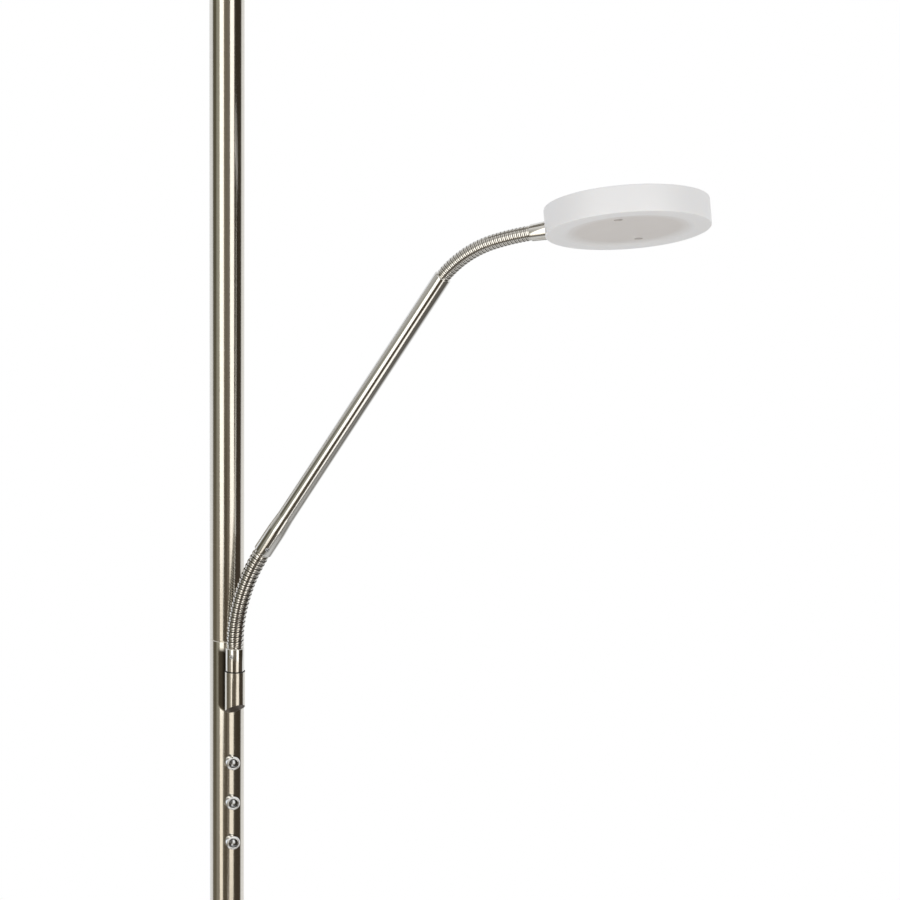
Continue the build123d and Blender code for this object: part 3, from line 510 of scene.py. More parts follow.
# Painted light on the buttons: shade painted near black in the groove round the dome, and the dome a darker
# grey as a painted dark reflection.
dark_chrome = new_finish("dark_chrome", Metallic=1.0)
tarnish = grain(dark_chrome, own_place(dark_chrome), 500)
groove_shade = (0.05, 0.05, 0.052)
cap_shade_colour = ramp(
    dark_chrome,
    span(dark_chrome, axis_distance(dark_chrome), 0.0, 1.0, 0.0, 4.0 * mm),
    (0.68, (0.42, 0.43, 0.445)),
    (0.70, groove_shade),
    (0.83, groove_shade),
    (0.85, chrome_colour),
)
apply_to(dark_chrome, "Base Color", cap_shade_colour)
roughen(dark_chrome, tarnish, 0.04, 0.08)
for height, name in zip(button_heights, ("button_top", "button_middle", "button_bottom")):
    button = turned(
        name + "_dressed",
        [
            (0.0, 5.15), (0.6, 5.13), (1.2, 5.06), (1.8, 4.95), (2.35, 4.79), (2.7, 4.62, 0.15),
            (2.8, 4.15, 0.1), (3.3, 4.15, 0.1), (3.4, 4.8, 0.1), (3.85, 4.9, 0.15), (3.85, 2.7, 0.2),
            (2.0, 2.7), (2.0, -0.1), (2.8, -0.1), (2.8, -1.7), (2.0, -1.7), (2.0, -6.2), (0.0, -6.2),
        ],
        72,
    )
    place = standing((0, -pole_radius, height), front, (1, 0, 0))
    settle(button, place, dark_chrome, name, "polished_nickel", name)

black_nylon = new_finish("black_nylon", Roughness=0.5)
nylon = grain(black_nylon, object_place(black_nylon), 900)
tint(black_nylon, nylon, (0.012, 0.012, 0.012), (0.03, 0.029, 0.028))
emboss(black_nylon, nylon, 0.00004)
dress(black_nylon, "dimmer_switches")

circuit_board = new_finish("circuit_board", Roughness=0.4)
tracks = add(
    circuit_board.node_tree, "ShaderNodeTexBrick", Vector=object_place(circuit_board), Scale=160.0,
    Color1=(0.78, 0.79, 0.76, 1), Color2=(0.72, 0.74, 0.71, 1), Mortar=(0.60, 0.62, 0.58, 1),
)
apply_to(circuit_board, "Base Color", tracks["Color"])
dress(circuit_board, "dimmer_board")

# Arm bracket with its nipple, nut and stop screw
# Short rod of plated steel, welded upright to the pole's front, cut off at a slant underneath and bored
# from the top for the arm. A hollow bolt through the pole's wall leads the wires into it.
bracket_radius, bracket_top, bracket_bottom = 7.3, 1090.0, 1062.0
blank_bottom, weld_half = 1040.0, 3.0
swivel_bore, swivel_screw_height, screw_hole = 4.55, 1084.0, 1.55
slant, slant_turn = math.radians(31), math.radians(11)
slant_front = Vector((math.sin(slant_turn), -math.cos(slant_turn), 0))
slant_down = slant_front * math.sin(slant) - Vector((0, 0, 1)) * math.cos(slant)
bracket_axis = Vector((0, -bracket_offset, 0))


def block(low, high, place):
    """Rectangular tool between two corners in millimetres."""
    shape = bmesh.new()
    bmesh.ops.create_cube(shape, size=1.0)
    for vertex in shape.verts:
        vertex.co = Vector([(a if c < 0 else b) * mm for a, b, c in zip(low, high, vertex.co)])
    tool = link_new("tool", shape)
    tool.data.transform(place)
    return tool


bracket = turned(
    "arm_bracket_dressed",
    [(0, blank_bottom), (bracket_radius, blank_bottom), (bracket_radius, bracket_top), (0, bracket_top)],
    160,
)
bracket.data.transform(Matrix.Translation(bracket_axis * mm))
weld = block((-weld_half, -bracket_offset, blank_bottom), (weld_half, 0, bracket_top), upright)
carve(bracket, weld, operation="UNION")
screw_side = Vector((math.cos(math.radians(30)), math.sin(math.radians(30)), 0))
swivel_screw_spot = bracket_axis + Vector((0, 0, swivel_screw_height)) + screw_side * bracket_radius
swivel_screw_place = standing(swivel_screw_spot, screw_side, (0, 0, 1))
washer_place = standing(bracket_axis + Vector((0, 0, bracket_top)), (0, 0, 1), (1, 0, 0))
slant_place = standing(bracket_axis + Vector((0, 0, bracket_bottom)), slant_down, (1, 0, 0))
carve(
    bracket,
    rod(pole_radius, 1000, 1200, upright),
    block((-60, -60, 0), (60, 60, 80), slant_place),
    rod(swivel_bore, -24, 5, washer_place),
    rod(screw_hole, -7, 3, swivel_screw_place),
)
rounding = bracket.modifiers.new("rounding", "BEVEL")
rounding.width = 0.35 * mm
rounding.segments = 2
rounding.limit_method = "ANGLE"
rounding.angle_limit = math.radians(40)
work_in(bracket)
# Painted shade on the slanted cut underneath: dark brown in place of nickel.
cut_face = bracket.data.attributes.new("cut_face", "FLOAT", "FACE")
for face in bracket.data.polygons:
    cut_face.data[face.index].value = 1.0 if face.normal.dot(slant_down) > 0.97 else 0.0
cut_nickel = satin_nickel.copy()
cut_nickel.name = "cut_nickel"
underside_shade_share = add(cut_nickel.node_tree, "ShaderNodeAttribute", {"attribute_name": "cut_face"})["Fac"]
mar(cut_nickel, underside_shade_share, (0.085, 0.06, 0.042, 1), 0.4)
settle(bracket, upright, cut_nickel, "stand", "polished_nickel", "arm_bracket")
dress(zinc_steel, "bracket_nipple", "bracket_nut")


def grub_screw(name, place, length, body):
    """Headless screw with a hexagon socket, its flush end at the place's origin."""
    screw = turned(
        name + "_dressed",
        [(0, -length), (1.2, -length), (1.5, -length + 0.3), (1.5, -0.25), (1.25, 0.0), (0, 0.0)],
        48,
    )
    socket = turned("tool", [(0, -0.8), (0.85, -0.8), (0.85, 1.0), (0, 1.0)], 6)
    carve(screw, socket)
    settle(screw, place, zinc_steel, body, "zinc_steel", name)


swivel_screw_seat = swivel_screw_place @ Matrix.Translation((0, 0, -0.2 * mm))
grub_screw("swivel_screw", swivel_screw_seat, 2.4, "stand")

# Swivel washer
# Thin black nylon ring that the arm turns on. It stands a little proud, as a dark line under the ferrule.
washer = turned(
    "swivel_washer_dressed",
    [(4.7, 0.0), (7.38, 0.0, 0.1), (7.38, 0.45, 0.1), (4.7, 0.45)],
    120,
)
settle(washer, washer_place, black_nylon, "stand", "black_nylon", "swivel_washer")

# Arm ferrule and its grub screw
# Turned, nickel-plated sleeve whose spigot swivels in the bracket. The screw clamps the lower hose in
# its top.
ferrule_base, ferrule_top, ferrule_radius = 1090.5, 1107.5, 6.8
socket_radius, socket_depth, screw_drop = 5.8, 11.1, 5.5
arm_azimuth = math.radians(-40)
along = Vector((math.cos(arm_azimuth), math.sin(arm_azimuth), 0))
across = along.cross(Vector((0, 0, 1)))
ferrule = turned(
    "arm_ferrule_dressed",
    [
        (2.5, 1078.0), (4.5, 1078.0, 0.3), (4.5, 1082.8), (3.2, 1082.8), (3.2, 1085.2), (4.5, 1085.2),
        (4.5, ferrule_base), (ferrule_radius, ferrule_base, 0.35), (ferrule_radius, ferrule_top, 0.6),
        (socket_radius, ferrule_top), (socket_radius, ferrule_top - socket_depth),
        (2.5, ferrule_top - socket_depth),
    ],
    160,
)
ferrule_screw_spot = across * ferrule_radius + Vector((0, 0, ferrule_top - screw_drop))
ferrule_screw_place = standing(ferrule_screw_spot, across, (0, 0, 1))
carve(ferrule, rod(screw_hole, -4, 2, ferrule_screw_place))
ferrule_place = Matrix.Translation(bracket_axis * mm)
settle(ferrule, ferrule_place, bright_nickel, "arm_foot", "polished_nickel", "arm_ferrule")
grub_screw("ferrule_screw", ferrule_place @ ferrule_screw_place, 0.7, "arm_foot")

# Ribbed hoses
# Bright-plated gooseneck hose, wound in one long spiral so that it bends and stays. Its plain ends
# are pushed into the ferrule, the arm tube and the head's ferrule.
hose_lengths = ("Valley radius", "Rib depth", "Rib pitch", "Seam depth", "Plain end", "Bore radius")
hose_inputs = dict.fromkeys((*hose_lengths, "Raised share", "Seam shade"), "Float")
hose_inputs.update(Rings="Int", Sides="Int", Finish="Material")
hose_tree, hose_in, hose_out = node_tree("ribbed_hose", hose_inputs)
bore_rings, rib_steepness, seam_steepness = 40, 6.0, 5.0


def sum_of(operation, *values):
    """Number worked out in the hose's tree."""
    return number_of(hose_tree, operation, *values)


def clamped(value):
    """Number kept between 0 and 1 in the hose's tree."""
    return add(hose_tree, "ShaderNodeClamp", Value=value)["Result"]


def stored(geometry, name, kind, value):
    """Geometry in the hose's tree with a value kept on its points."""
    settings = {"data_type": kind, "domain": "POINT"}
    inputs = {"Geometry": geometry, "Name": name, "Value": value}
    return add(hose_tree, "GeometryNodeStoreNamedAttribute", settings, **inputs)["Geometry"]


hose_path = add(hose_tree, "GeometryNodeMeshToCurve", Mesh=hose_in["Geometry"])["Curve"]
hose_length = add(hose_tree, "GeometryNodeCurveLength", Curve=hose_path)["Length"]
hose_rows = sum_of("ADD", hose_in["Rings"], bore_rings + 3)
hose_sides = sum_of("ADD", hose_in["Sides"], 1)
hose_grid = add(hose_tree, "GeometryNodeMeshGrid", Vertices_X=hose_rows, Vertices_Y=hose_sides)
hose_uv = add(hose_tree, "ShaderNodeSeparateXYZ", Vector=hose_grid["UV Map"])
hose_row = sum_of("ROUND", sum_of("MULTIPLY", hose_uv["X"], sum_of("SUBTRACT", hose_rows, 1)))
hose_angle = sum_of("MULTIPLY", hose_uv["Y"], math.tau)
share_out = clamped(sum_of("DIVIDE", hose_row, hose_in["Rings"]))
row_back = sum_of("SUBTRACT", sum_of("SUBTRACT", hose_row, hose_in["Rings"]), 1)
share_back = clamped(sum_of("DIVIDE", row_back, bore_rings))
hose_run = sum_of("MULTIPLY", sum_of("SUBTRACT", share_out, share_back), hose_length)
past_mouth = sum_of("GREATER_THAN", row_back, -0.5)
before_foot = sum_of("LESS_THAN", row_back, bore_rings + 0.5)
inside = sum_of("MULTIPLY", past_mouth, before_foot)
run_in = sum_of("SUBTRACT", hose_run, hose_in["Plain end"])
run_left = sum_of("SUBTRACT", sum_of("SUBTRACT", hose_length, hose_in["Plain end"]), hose_run)
turns_in = sum_of("DIVIDE", run_in, hose_in["Rib pitch"])
rise_in = clamped(turns_in)
rise_out = clamped(sum_of("DIVIDE", run_left, hose_in["Rib pitch"]))
wind = sum_of("FRACT", sum_of("SUBTRACT", turns_in, hose_uv["Y"]))
off_crest = sum_of("ABSOLUTE", sum_of("SUBTRACT", sum_of("MULTIPLY", wind, 2.0), 1.0))
to_edge = sum_of("SUBTRACT", off_crest, hose_in["Raised share"])
wound = sum_of("MULTIPLY", rise_in, rise_out)
raised = clamped(sum_of("MULTIPLY_ADD", to_edge, -rib_steepness, 0.5))
raised = sum_of("MULTIPLY", raised, wound)
seam_line = clamped(sum_of("MULTIPLY_ADD", sum_of("ABSOLUTE", to_edge), -seam_steepness, 1.0))
seam_line = sum_of("MULTIPLY", seam_line, wound)
outer = sum_of("MULTIPLY_ADD", raised, hose_in["Rib depth"], hose_in["Valley radius"])
outer = sum_of("SUBTRACT", outer, sum_of("MULTIPLY", seam_line, hose_in["Seam depth"]))
hose_radius = add(hose_tree, "ShaderNodeMix", Factor=inside, A=outer, B=hose_in["Bore radius"])["Result"]
hose_sample = add(
    hose_tree, "GeometryNodeSampleCurve", {"mode": "LENGTH"}, Curves=hose_path, Length=hose_run
)
hose_side = vector_of(hose_tree, "CROSS_PRODUCT", hose_sample["Tangent"], hose_sample["Normal"])
hose_x = sum_of("MULTIPLY", hose_radius, sum_of("COSINE", hose_angle))
hose_y = sum_of("MULTIPLY", hose_radius, sum_of("SINE", hose_angle))
reach = [
    add(hose_tree, "ShaderNodeVectorMath", {"operation": "SCALE"}, direction, Scale=distance)["Vector"]
    for direction, distance in ((hose_sample["Normal"], hose_x), (hose_side, hose_y))
]
hose_spot = vector_of(hose_tree, "ADD", hose_sample["Position"], vector_of(hose_tree, "ADD", *reach))
own_spot = add(hose_tree, "ShaderNodeCombineXYZ", X=hose_x, Y=hose_y, Z=hose_run)["Vector"]
seam_dark = sum_of("MULTIPLY", seam_line, hose_in["Seam shade"])
hose_named = stored(hose_grid["Mesh"], "own_place", "FLOAT_VECTOR", own_spot)
hose_named = stored(hose_named, "seam_line", "FLOAT", seam_dark)
hose_placed = add(hose_tree, "GeometryNodeSetPosition", Geometry=hose_named, Position=hose_spot)["Geometry"]
hose_closed = add(hose_tree, "GeometryNodeMergeByDistance", Geometry=hose_placed, Distance=1e-6)
end_tree(hose_tree, hose_in, hose_out, hose_closed["Geometry"])

# Painted shade: the seams between the hose's turns go down to near black.
hose_nickel = new_finish("hose_nickel", Metallic=1.0)
seam_shading = add(hose_nickel.node_tree, "ShaderNodeAttribute", {"attribute_name": "seam_line"})["Fac"]
hose_colour = ramp(
    hose_nickel, seam_shading, (0.0, (0.69, 0.67, 0.63)), (0.2, (0.42, 0.39, 0.35)), (0.55, (0.025, 0.02, 0.016))
)
apply_to(hose_nickel, "Base Color", hose_colour)
apply_to(hose_nickel, "Roughness", span(hose_nickel, seam_shading, 0.06, 0.4, 0.0, 0.7))

plain_end, hose_wall = 11.0, 1.25
bend_steps, rings_per_rib = 60, 26


def leaning(lean):
    """Direction in the arm's upright plane, leaning this far outwards."""
    return along * math.sin(lean) + Vector((0, 0, 1)) * math.cos(lean)


def hose(name, start, lean, bends, diameter, rib_depth, seam_depth, seam_shade, ribs, replaced):
    """Hose from a start point along one bend after another; returns where and how it ends."""
    points, end, end_lean, length = [start - leaning(lean) * plain_end], start, lean, 0.0
    for radius, degrees in bends:
        bend = math.radians(degrees)
        middle = end + leaning(end_lean + math.pi / 2) * radius
        leans = [end_lean + bend * i / bend_steps for i in range(bend_steps)]
        points += [middle - leaning(at + math.pi / 2) * radius for at in leans]
        end, end_lean = middle - leaning(end_lean + bend + math.pi / 2) * radius, end_lean + bend
        length += radius * bend
    points += [end, end + leaning(end_lean) * plain_end]
    path = bpy.data.meshes.new(name)
    path.from_pydata([p * mm for p in points], [(i, i + 1) for i in range(len(points) - 1)], [])
    piece = linked(name, path)
    valley = diameter / 2 - rib_depth
    grow(
        piece,
        hose_tree,
        Valley_radius=valley * mm,
        Rib_depth=rib_depth * mm,
        Rib_pitch=length / ribs * mm,
        Raised_share=0.55,
        Seam_depth=seam_depth * mm,
        Seam_shade=seam_shade,
        Plain_end=plain_end * mm,
        Bore_radius=(valley - hose_wall) * mm,
        Rings=int(ribs * rings_per_rib * (length + 2 * plain_end) / length),
        Sides=56,
        Finish=hose_nickel,
    )
    mesh = piece.data
    mesh.shade_smooth()
    mesh.set_sharp_from_angle(angle=math.radians(80))
    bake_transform(piece)
    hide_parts(replaced)
    return end, end_lean


arm_start, arm_lean = hose(
    "lower_hose_wound",
    bracket_axis + Vector((0, 0, ferrule_top)),
    lean=0.0,
    bends=[(133.5, 33.2)],
    diameter=12.4,
    rib_depth=0.5,
    seam_depth=0.25,
    seam_shade=1.0,
    ribs=21,
    replaced="lower_hose",
)

# Arm tube and its grub screw
# Nickel-plated tube, swollen at its lower end to take the hose, which the screw clamps.
arm_length, swell_radius, arm_radius = 248.5, 6.9, 6.25
arm_place = standing(arm_start, leaning(arm_lean), across)
arm_tube = turned(
    "arm_tube_dressed",
    [
        (socket_radius, 0.0), (swell_radius, 0.0, 0.6), (swell_radius, 20.0, 60.0),
        (arm_radius, 33.0, 60.0), (arm_radius, arm_length, 0.8), (5.0, arm_length),
        (5.0, socket_depth), (socket_radius, socket_depth),
    ],
    160,
)
tube_screw_spot = screw_side * swell_radius + Vector((0, 0, screw_drop))
tube_screw_place = standing(tube_screw_spot, screw_side, (0, 0, 1))
carve(arm_tube, rod(screw_hole, -4, 2, tube_screw_place))
arm_nickel = new_finish("arm_nickel", Metallic=1.0)
drawing = grain(arm_nickel, own_place(arm_nickel), (300, 300, 12))
tint(arm_nickel, drawing, (0.68, 0.67, 0.645), (0.73, 0.72, 0.695))
roughen(arm_nickel, drawing, 0.09, 0.12)
settle(arm_tube, arm_place, arm_nickel, "arm", "satin_nickel", "arm_tube")
grub_screw("tube_screw", arm_place @ tube_screw_place, 1.1, "arm")

stem_start, stem_lean = hose(
    "upper_hose_wound",
    arm_start + leaning(arm_lean) * arm_length,
    lean=arm_lean,
    bends=[(12.0, 6.74), (85.268, 30.55), (215.813, 7.51)],
    diameter=10.7,
    rib_depth=0.24,
    seam_depth=0.14,
    seam_shade=0.8,
    ribs=26,
    replaced="upper_hose",
)

# Head ferrule with its hollow stem, and the nut on it
# Tapered, nickel-plated sleeve on the end of the upper hose. The reading head turns on its stem, held
# by the nut.
stem = leaning(stem_lean)
stem_place = standing(stem_start, stem, across)
head_radius, head_depth, sleeve_length = 57.0, 19.0, 13.5
drum_wall, drum_ledge, head_gap, clearance = 4.0, 2.0, 0.3, 0.2
boss_length, boss_width, nut_thickness = 14.0, 12.0, 3.0
stem_run = sleeve_length + head_gap + head_radius
ledge_radius = head_radius - drum_wall - drum_ledge
boss_start = math.sqrt(ledge_radius**2 - (boss_width / 2) ** 2) - clearance
nut_end = stem_run - boss_start + boss_length + clearance + nut_thickness
sleeve = turned(
    "head_ferrule_dressed",
    [
        (5.0, 0.0), (6.0, 0.0, 0.35), (6.8, sleeve_length, 0.35), (3.0, sleeve_length),
        (3.0, nut_end, 0.4), (1.8, nut_end), (1.8, socket_depth), (5.0, socket_depth),
    ],
    160,
)
settle(sleeve, stem_place, bright_nickel, "neck", "polished_nickel", "head_ferrule")
dress(zinc_steel, "stem_nut")

# Reading head: opal drum, its screws, back plate, board and LEDs
# Moulded opal acrylic drum, closed on its light side, with a shallow field where the light comes
# through. Two screws sunk in that side hold it to the metal plate that carries the board.
def opal_finish(name, field_radius):
    """Milky acrylic, with shade painted darker and warmer over the thin field that the light comes through,
    standing in for the plate behind it.
    """
    glow = {"Subsurface_Weight": 0.25, "Subsurface_Scale": 0.004, "Subsurface_Radius": (1.0, 0.9, 0.8)}
    opal = new_finish(name, IOR=1.49, **glow)
    field_end, rim_start = field_radius * 0.82 * mm, field_radius * 1.08 * mm
    outside = span(opal, axis_distance(opal), 0.0, 1.0, field_end, rim_start)
    apply_to(opal, "Base Color", ramp(opal, outside, (0.0, (0.68, 0.65, 0.63)), (1.0, (0.83, 0.83, 0.84))))
    roughen(opal, grain(opal, own_place(opal), 60), 0.38, 0.46)
    emboss(opal, grain(opal, own_place(opal), 1500, 2.0), 0.00001)
    return opal


roll = math.radians(18)
head_up = stem.cross(across) * math.cos(roll) + across * math.sin(roll)
head_up = head_up if head_up.z > 0 else -head_up
head_top = stem_start + stem * stem_run + head_up * head_depth / 2
head_place = standing(head_top, -head_up, stem)
head_dish, head_plate_face, head_screw_tip = 42.5, 4.0, 1.0
head_screw_circle = (31.4, 2, math.radians(82))
dish_depth, face_thickness = 1.0, 3.0
screw_sink, recess_radius = 5.0, 3.1


def opal_drum(name, radius, depth, plate_face, dish_radius):
    """Drum with its open side at height 0 and its closed light side at its depth."""
    ledge = radius - drum_wall - drum_ledge
    return turned(
        name,
        [
            (radius - drum_wall, 0.0, 0.3), (radius, 0.0, 0.8), (radius, depth, 0.8),
            (dish_radius + 2.5, depth, 1.5), (dish_radius - 1.5, depth - dish_depth, 1.5),
            (0.0, depth - dish_depth), (0.0, depth - face_thickness),
            (ledge, depth - face_thickness, 1.5), (ledge, plate_face),
            (radius - drum_wall, plate_face),
        ],
        240,
    )


def screw_recesses(depth, circle, count, first):
    """Round tools for the screws' recesses in a drum's light side."""
    turns = [first + math.tau * i / count for i in range(count)]
    spots = [Matrix.Translation(Vector((math.cos(a), math.sin(a), 0)) * circle * mm) for a in turns]
    return [rod(recess_radius, depth - screw_sink, depth + 3, spot) for spot in spots]


head_opal = opal_finish("head_opal", head_dish)
head_drum = opal_drum("head_drum_dressed", head_radius, head_depth, head_plate_face, head_dish)
stem_hole = rod(3.3, -70, -40, standing((0, 0, head_depth / 2), (1, 0, 0), (0, 0, 1)))
carve(head_drum, stem_hole, *screw_recesses(head_depth, *head_screw_circle))
settle(head_drum, head_place, head_opal, "head", "opal_acrylic", "head_drum")

screw_inputs = {"Count": "Int", "Circle": "Float", "First turn": "Float", "Finish": "Material"}
screw_tree, screw_in, screw_out = node_tree("screw_circle", screw_inputs)
screw_step = number_of(screw_tree, "DIVIDE", math.tau, screw_in["Count"])
screw_number = add(screw_tree, "GeometryNodeInputIndex")["Index"]
screw_turn = number_of(screw_tree, "MULTIPLY_ADD", screw_number, screw_step, screw_in["First turn"])
screw_spoke = add(screw_tree, "ShaderNodeCombineXYZ", X=screw_in["Circle"])["Vector"]
screw_spot = add(
    screw_tree, "ShaderNodeVectorRotate", {"rotation_type": "Z_AXIS"}, Vector=screw_spoke, Angle=screw_turn
)["Vector"]
screw_points = add(screw_tree, "GeometryNodePoints", Count=screw_in["Count"], Position=screw_spot)["Points"]
screw_copies = add(
    screw_tree, "GeometryNodeInstanceOnPoints", Points=screw_points, Instance=screw_in["Geometry"]
)
end_tree(screw_tree, screw_in, screw_out, screw_copies["Instances"])


def drum_screws(name, depth, tip, circle, count, first, place, body):
    """Pan-head screws with cross recesses, sunk in a drum's light side."""
    seat, crown = depth - screw_sink, depth - screw_sink + 2.2
    thread, pan, arm, half = 1.5, 2.9, 1.7, 0.4
    screw = turned(
        name + "_dressed",
        [
            (0, tip), (thread - 0.3, tip), (thread, tip + 0.3), (thread, seat), (pan, seat),
            (pan, crown, 0.8), (0, crown),
        ],
        40,
    )
    cross_foot = Matrix.Translation((0, 0, (seat + 1.2) * mm))
    cross = [block((-x, -y, 0), (x, y, 3), cross_foot) for x, y in ((arm, half), (half, arm))]
    carve(screw, *cross)
    grow(screw, screw_tree, Count=count, Circle=circle * mm, First_turn=first, Finish=zinc_steel)
    settle(screw, place, zinc_steel, body, "zinc_steel", name)


drum_screws("head_screws", head_depth, head_screw_tip, *head_screw_circle, head_place, "head")

aluminium = new_finish("aluminium", Metallic=1.0)
rolled = grain(aluminium, object_place(aluminium), (1800, 60, 60), 4.0)
tint(aluminium, rolled, (0.66, 0.65, 0.63), (0.74, 0.73, 0.71))
roughen(aluminium, rolled, 0.28, 0.40)
dress(aluminium, "head_plate", "uplight_plate")

phosphor = new_finish("phosphor", Roughness=0.25)
dots = grain(phosphor, object_place(phosphor), 500, 2.0)
tint(phosphor, dots, (0.85, 0.66, 0.16), (0.92, 0.78, 0.30))
dress(phosphor, "head_leds", "uplight_leds")
dress(circuit_board, "head_board", "uplight_board")

# Uplighter: hub, pan, driver, plate, drum and screws
# The turned hub stands in the pole's top and carries a pressed steel pan with the driver in it. The
# wide drum of opal acrylic stands on the pan's rim and throws light at the ceiling.
pan_base = pole_top + 6.0
pan_rim = pan_base + 24.0
pan_radius, uplight_radius, uplight_depth, skirt = 135.8, 140.0, 28.0, 6.0
uplight_dish, uplight_screw_circle = 105.0, (95.0, 3, math.pi / 2)
hub = turned(
    "uplight_hub_dressed",
    [
        (4.0, pole_top), (8.95, pole_top - 4), (8.95, pole_top - 40), (10.95, pole_top - 40, 0.5),
        (10.95, pole_top), (16.0, pole_top, 0.4), (30.0, pan_base - 0.5, 0.3), (30.0, pan_base),
        (6.0, pan_base), (6.0, pan_base + 9.5, 0.5), (4.0, pan_base + 9.5),
    ],
)
settle(hub, upright, satin_nickel, "stand", "satin_nickel", "uplight_hub")
dress(zinc_steel, "uplight_washer", "uplight_nut")

pan = turned(
    "uplight_pan_dressed",
    [
        (6.2, pan_base), (pan_radius, pan_base, 8.0), (pan_radius, pan_rim, 0.4),
        (pan_radius - sheet, pan_rim, 0.4), (pan_radius - sheet, pan_base + sheet, 6.5),
        (6.2, pan_base + sheet),
    ],
    240,
)
pan_place = Matrix.Translation((0, 0, pan_base * mm))
pan.data.transform(Matrix.Translation((0, 0, -pan_base * mm)))
settle(pan, pan_place, spun_nickel, "stand", "satin_nickel", "uplight_pan")

driver_case = new_finish("driver_case", Roughness=0.55)
pebble = grain(driver_case, object_place(driver_case), 1200)
tint(driver_case, pebble, (0.76, 0.76, 0.75), (0.82, 0.82, 0.81))
emboss(driver_case, pebble, 0.00006)
dress(driver_case, "led_driver")

uplight_place = Matrix.Translation((0, 0, (pan_rim - skirt) * mm))
uplight_opal = opal_finish("uplight_opal", uplight_dish)
uplight_drum = opal_drum("uplight_drum_dressed", uplight_radius, uplight_depth, skirt + 3.0, uplight_dish)
carve(uplight_drum, *screw_recesses(uplight_depth, *uplight_screw_circle))
settle(uplight_drum, uplight_place, uplight_opal, "stand", "opal_acrylic", "uplight_drum")
drum_screws("uplight_screws", uplight_depth, skirt, *uplight_screw_circle, uplight_place, "stand")

# Studio
# Pale floor and white backdrop. Two tall softboxes beside the camera with a warmer one under each,
# and a light panel on the floor, in a dim room under a bright ceiling.
view_azimuth, view_pitch, view_roll = math.radians(-19.5), math.radians(11), math.radians(0.6)
view_target, view_distance = Vector((0.1515, -0.0536, 1.2509)), 3.0
level_reach = math.cos(view_pitch)
camera_x, camera_y = math.sin(view_azimuth) * level_reach, -math.cos(view_azimuth) * level_reach
to_camera = Vector((camera_x, camera_y, math.sin(view_pitch)))
facing = Vector((camera_x, camera_y, 0)).normalized()
view_right = Vector((math.cos(view_azimuth), math.sin(view_azimuth), 0))
view_up = to_camera.cross(view_right)
rolled_right = view_right * math.cos(view_roll) + view_up * math.sin(view_roll)
rolled_up = view_up * math.cos(view_roll) - view_right * math.sin(view_roll)
camera_data = bpy.data.cameras.new("camera")
camera_data.sensor_width = 36.0
camera_data.lens = 166.56
camera_data.clip_end = 50.0
camera = linked("camera", camera_data)
view_place = Matrix.Translation(view_target + to_camera * view_distance)
camera.matrix_world = view_place @ axes(rolled_right, rolled_up, to_camera)
bpy.context.scene.camera = camera

floor_radius, fade_start, fade_end = 1.8, 0.7, 1.25
floor_shape = bmesh.new()
bmesh.ops.create_circle(floor_shape, cap_ends=True, segments=96, radius=floor_radius)
floor = link_new("floor", floor_shape)
floor_finish = new_finish("floor_paint", Roughness=0.7)
paint = grain(floor_finish, object_place(floor_finish), 4)
tint(floor_finish, paint, (0.86, 0.86, 0.855), (0.88, 0.88, 0.875))
floor_tree = floor_finish.node_tree
floor_reach = vector_of(floor_tree, "LENGTH", object_place(floor_finish))
floor_paint = floor_tree.nodes["Principled BSDF"].outputs["BSDF"]
floor_fade = span(floor_finish, floor_reach, 0.0, 1.0, fade_start, fade_end)
floor_clear = add(floor_tree, "ShaderNodeBsdfTransparent")["BSDF"]
floor_mix = add(floor_tree, "ShaderNodeMixShader", None, floor_fade, floor_paint, floor_clear)["Shader"]
floor_tree.links.new(floor_mix, floor_tree.nodes["Material Output"].inputs["Surface"])
floor.data.materials.append(floor_finish)


def area_light(name, width, height, level, colour, place):
    """Rectangular light that shines along -Z of its place."""
    light = bpy.data.lights.new(name, "AREA")
    light.shape = "RECTANGLE"
    light.size, light.size_y = width, height
    light.energy = level * math.pi * width * height
    light.color = colour
    linked(name, light).matrix_world = place


def softbox(name, turn, distance, width, low, high, level, colour):
    """Upright soft light, this many degrees to the right of the camera as seen from the pole."""
    angle = math.radians(turn)
    away = facing * math.cos(angle) + view_right * math.sin(angle)
    spot = away * distance + Vector((0, 0, (low + high) / 2))
    side = Vector((0, 0, 1)).cross(away)
    place = Matrix.Translation(spot) @ axes(side, Vector((0, 0, 1)), away)
    area_light(name, width, high - low, level, colour, place)


softbox("softbox_left", -31.5, 1.5, 0.733, 0.73, 2.37, 1.5, (1.0, 0.99, 0.965))
softbox("softbox_right", 37.0, 2.6, 1.25, 0.46, 3.0, 1.5, (1.0, 0.985, 0.95))
softbox("softbox_left_low", -34.9, 1.5, 0.56, 0.4, 0.72, 1.1, (1.0, 0.94, 0.84))
softbox("softbox_right_low", 34.0, 2.6, 1.345, 0.02, 0.45, 1.15, (1.0, 0.94, 0.84))

panel_width, panel_length, panel_level = 0.6, 1.3, 1.4
panel_spot = facing * 1.75 + view_right * 0.56 + Vector((0, 0, 0.02))
panel_turn = axes(view_right, -facing, Vector((0, 0, 1))) @ Matrix.Rotation(math.pi, 4, "X")
panel_place = Matrix.Translation(panel_spot) @ panel_turn
area_light("floor_panel", panel_width, panel_length, panel_level, (1.0, 0.975, 0.94), panel_place)

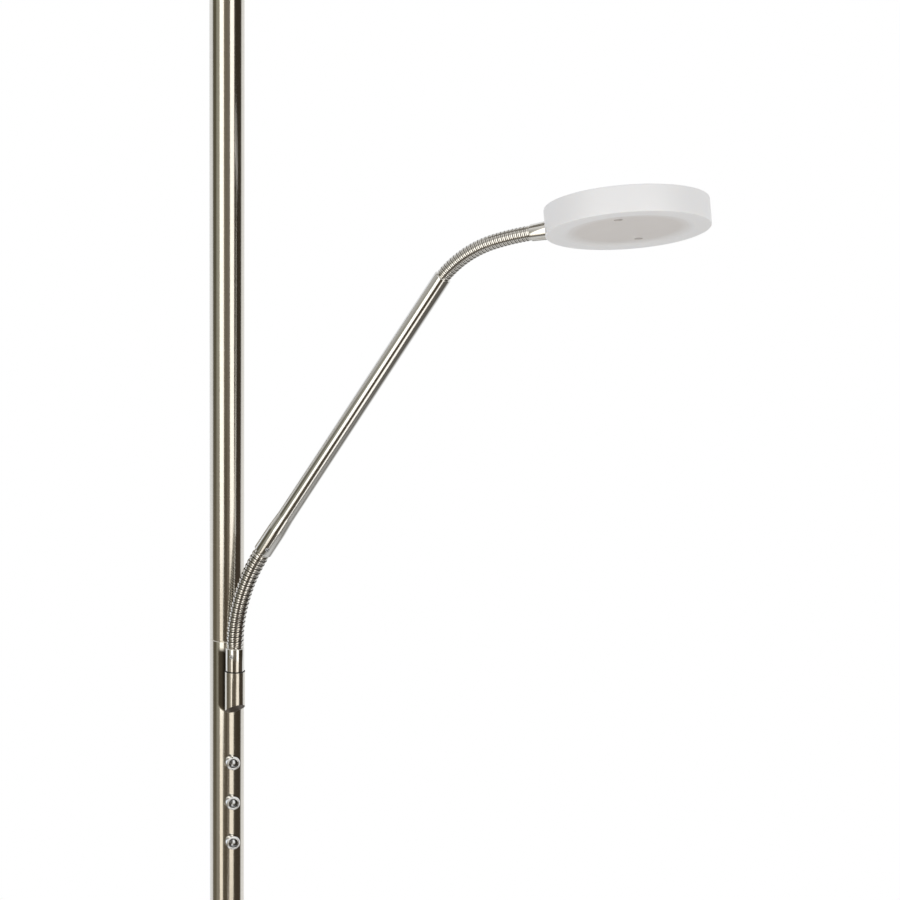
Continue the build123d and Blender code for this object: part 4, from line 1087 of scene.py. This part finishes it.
world = bpy.data.worlds.new("studio")
bpy.context.scene.world = world
world.use_nodes = True
sky = world.node_tree
sky.nodes.clear()
look = add(sky, "ShaderNodeTexCoord")["Generated"]
ahead_part = vector_of(sky, "DOT_PRODUCT", look, tuple(facing))
right_part = vector_of(sky, "DOT_PRODUCT", look, tuple(view_right))
bearing = number_of(sky, "ARCTAN2", right_part, ahead_part)
bearing = number_of(sky, "MULTIPLY_ADD", bearing, 1 / math.tau, 0.5)
rise = add(sky, "ShaderNodeSeparateXYZ", Vector=look)["Z"]
left_white, right_white = (0.98, 1.0, 1.04), (0.985, 0.99, 1.0)


def walls(*stops):
    """Colour round the lamp, through stops of (degrees to the right of the camera, colour)."""
    return ramp(world, bearing, *[((turn + 180) / 360, colour) for turn, colour in stops])


def risen(start, end):
    """Share from 0 to 1 as the direction rises or falls from start to end."""
    return span(world, rise, 0.0, 1.0, start, end)


level_walls = walls(
    (-180, left_white), (-108, left_white), (-98, (0.13, 0.12, 0.085)), (-74, (0.12, 0.11, 0.075)),
    (-67, (0.36, 0.35, 0.29)), (-54, (0.40, 0.39, 0.33)), (-20, (0.26, 0.23, 0.18)),
    (0, (0.20, 0.175, 0.14)), (16, (0.22, 0.20, 0.17)), (50, (0.12, 0.105, 0.085)),
    (62, (0.045, 0.036, 0.024)), (108, (0.05, 0.042, 0.03)), (116, right_white), (180, right_white),
)
low_walls = walls(
    (-180, left_white), (-112, left_white), (-102, (0.17, 0.15, 0.11)), (-74, (0.17, 0.15, 0.11)),
    (-67, (0.31, 0.28, 0.23)), (-54, (0.31, 0.28, 0.23)), (-20, (0.093, 0.075, 0.052)),
    (3, (0.093, 0.075, 0.052)), (6, (0.19, 0.16, 0.125)), (14, (0.19, 0.16, 0.125)),
    (50, (0.12, 0.105, 0.085)), (62, (0.07, 0.055, 0.042)), (103, (0.07, 0.055, 0.042)),
    (112, right_white), (180, right_white),
)
high_walls = walls(
    (-180, left_white), (-128, left_white), (-104, (0.55, 0.54, 0.51)), (-60, (0.50, 0.49, 0.46)),
    (-20, (0.26, 0.23, 0.18)), (50, (0.12, 0.105, 0.085)), (62, (0.045, 0.036, 0.024)),
    (108, (0.05, 0.042, 0.03)), (116, right_white), (180, right_white),
)
floor_tone, ceiling_tone = (0.16, 0.15, 0.135, 1), (0.85, 0.84, 0.82, 1)
room = mixed(world, risen(-0.205, -0.245), level_walls, low_walls)
room = mixed(world, risen(-0.5, -0.75), room, floor_tone)
room = mixed(world, risen(0.15, 0.25), room, high_walls)
room = mixed(world, risen(0.35, 0.75), room, ceiling_tone)
path_kind = add(sky, "ShaderNodeLightPath")
fill = mixed(world, risen(-0.5, 0.6), (0.55, 0.54, 0.53, 1), (0.65, 0.655, 0.66, 1))
room = mixed(world, path_kind["Is Diffuse Ray"], room, fill)
seen = number_of(sky, "MAXIMUM", path_kind["Is Camera Ray"], path_kind["Is Transmission Ray"])
room = mixed(world, seen, room, (1.0, 1.0, 1.0, 1))
glow = add(sky, "ShaderNodeBackground", Color=room, Strength=1.0)
add(sky, "ShaderNodeOutputWorld", Surface=glow["Background"])

bpy.context.scene.view_settings.view_transform = "Standard"
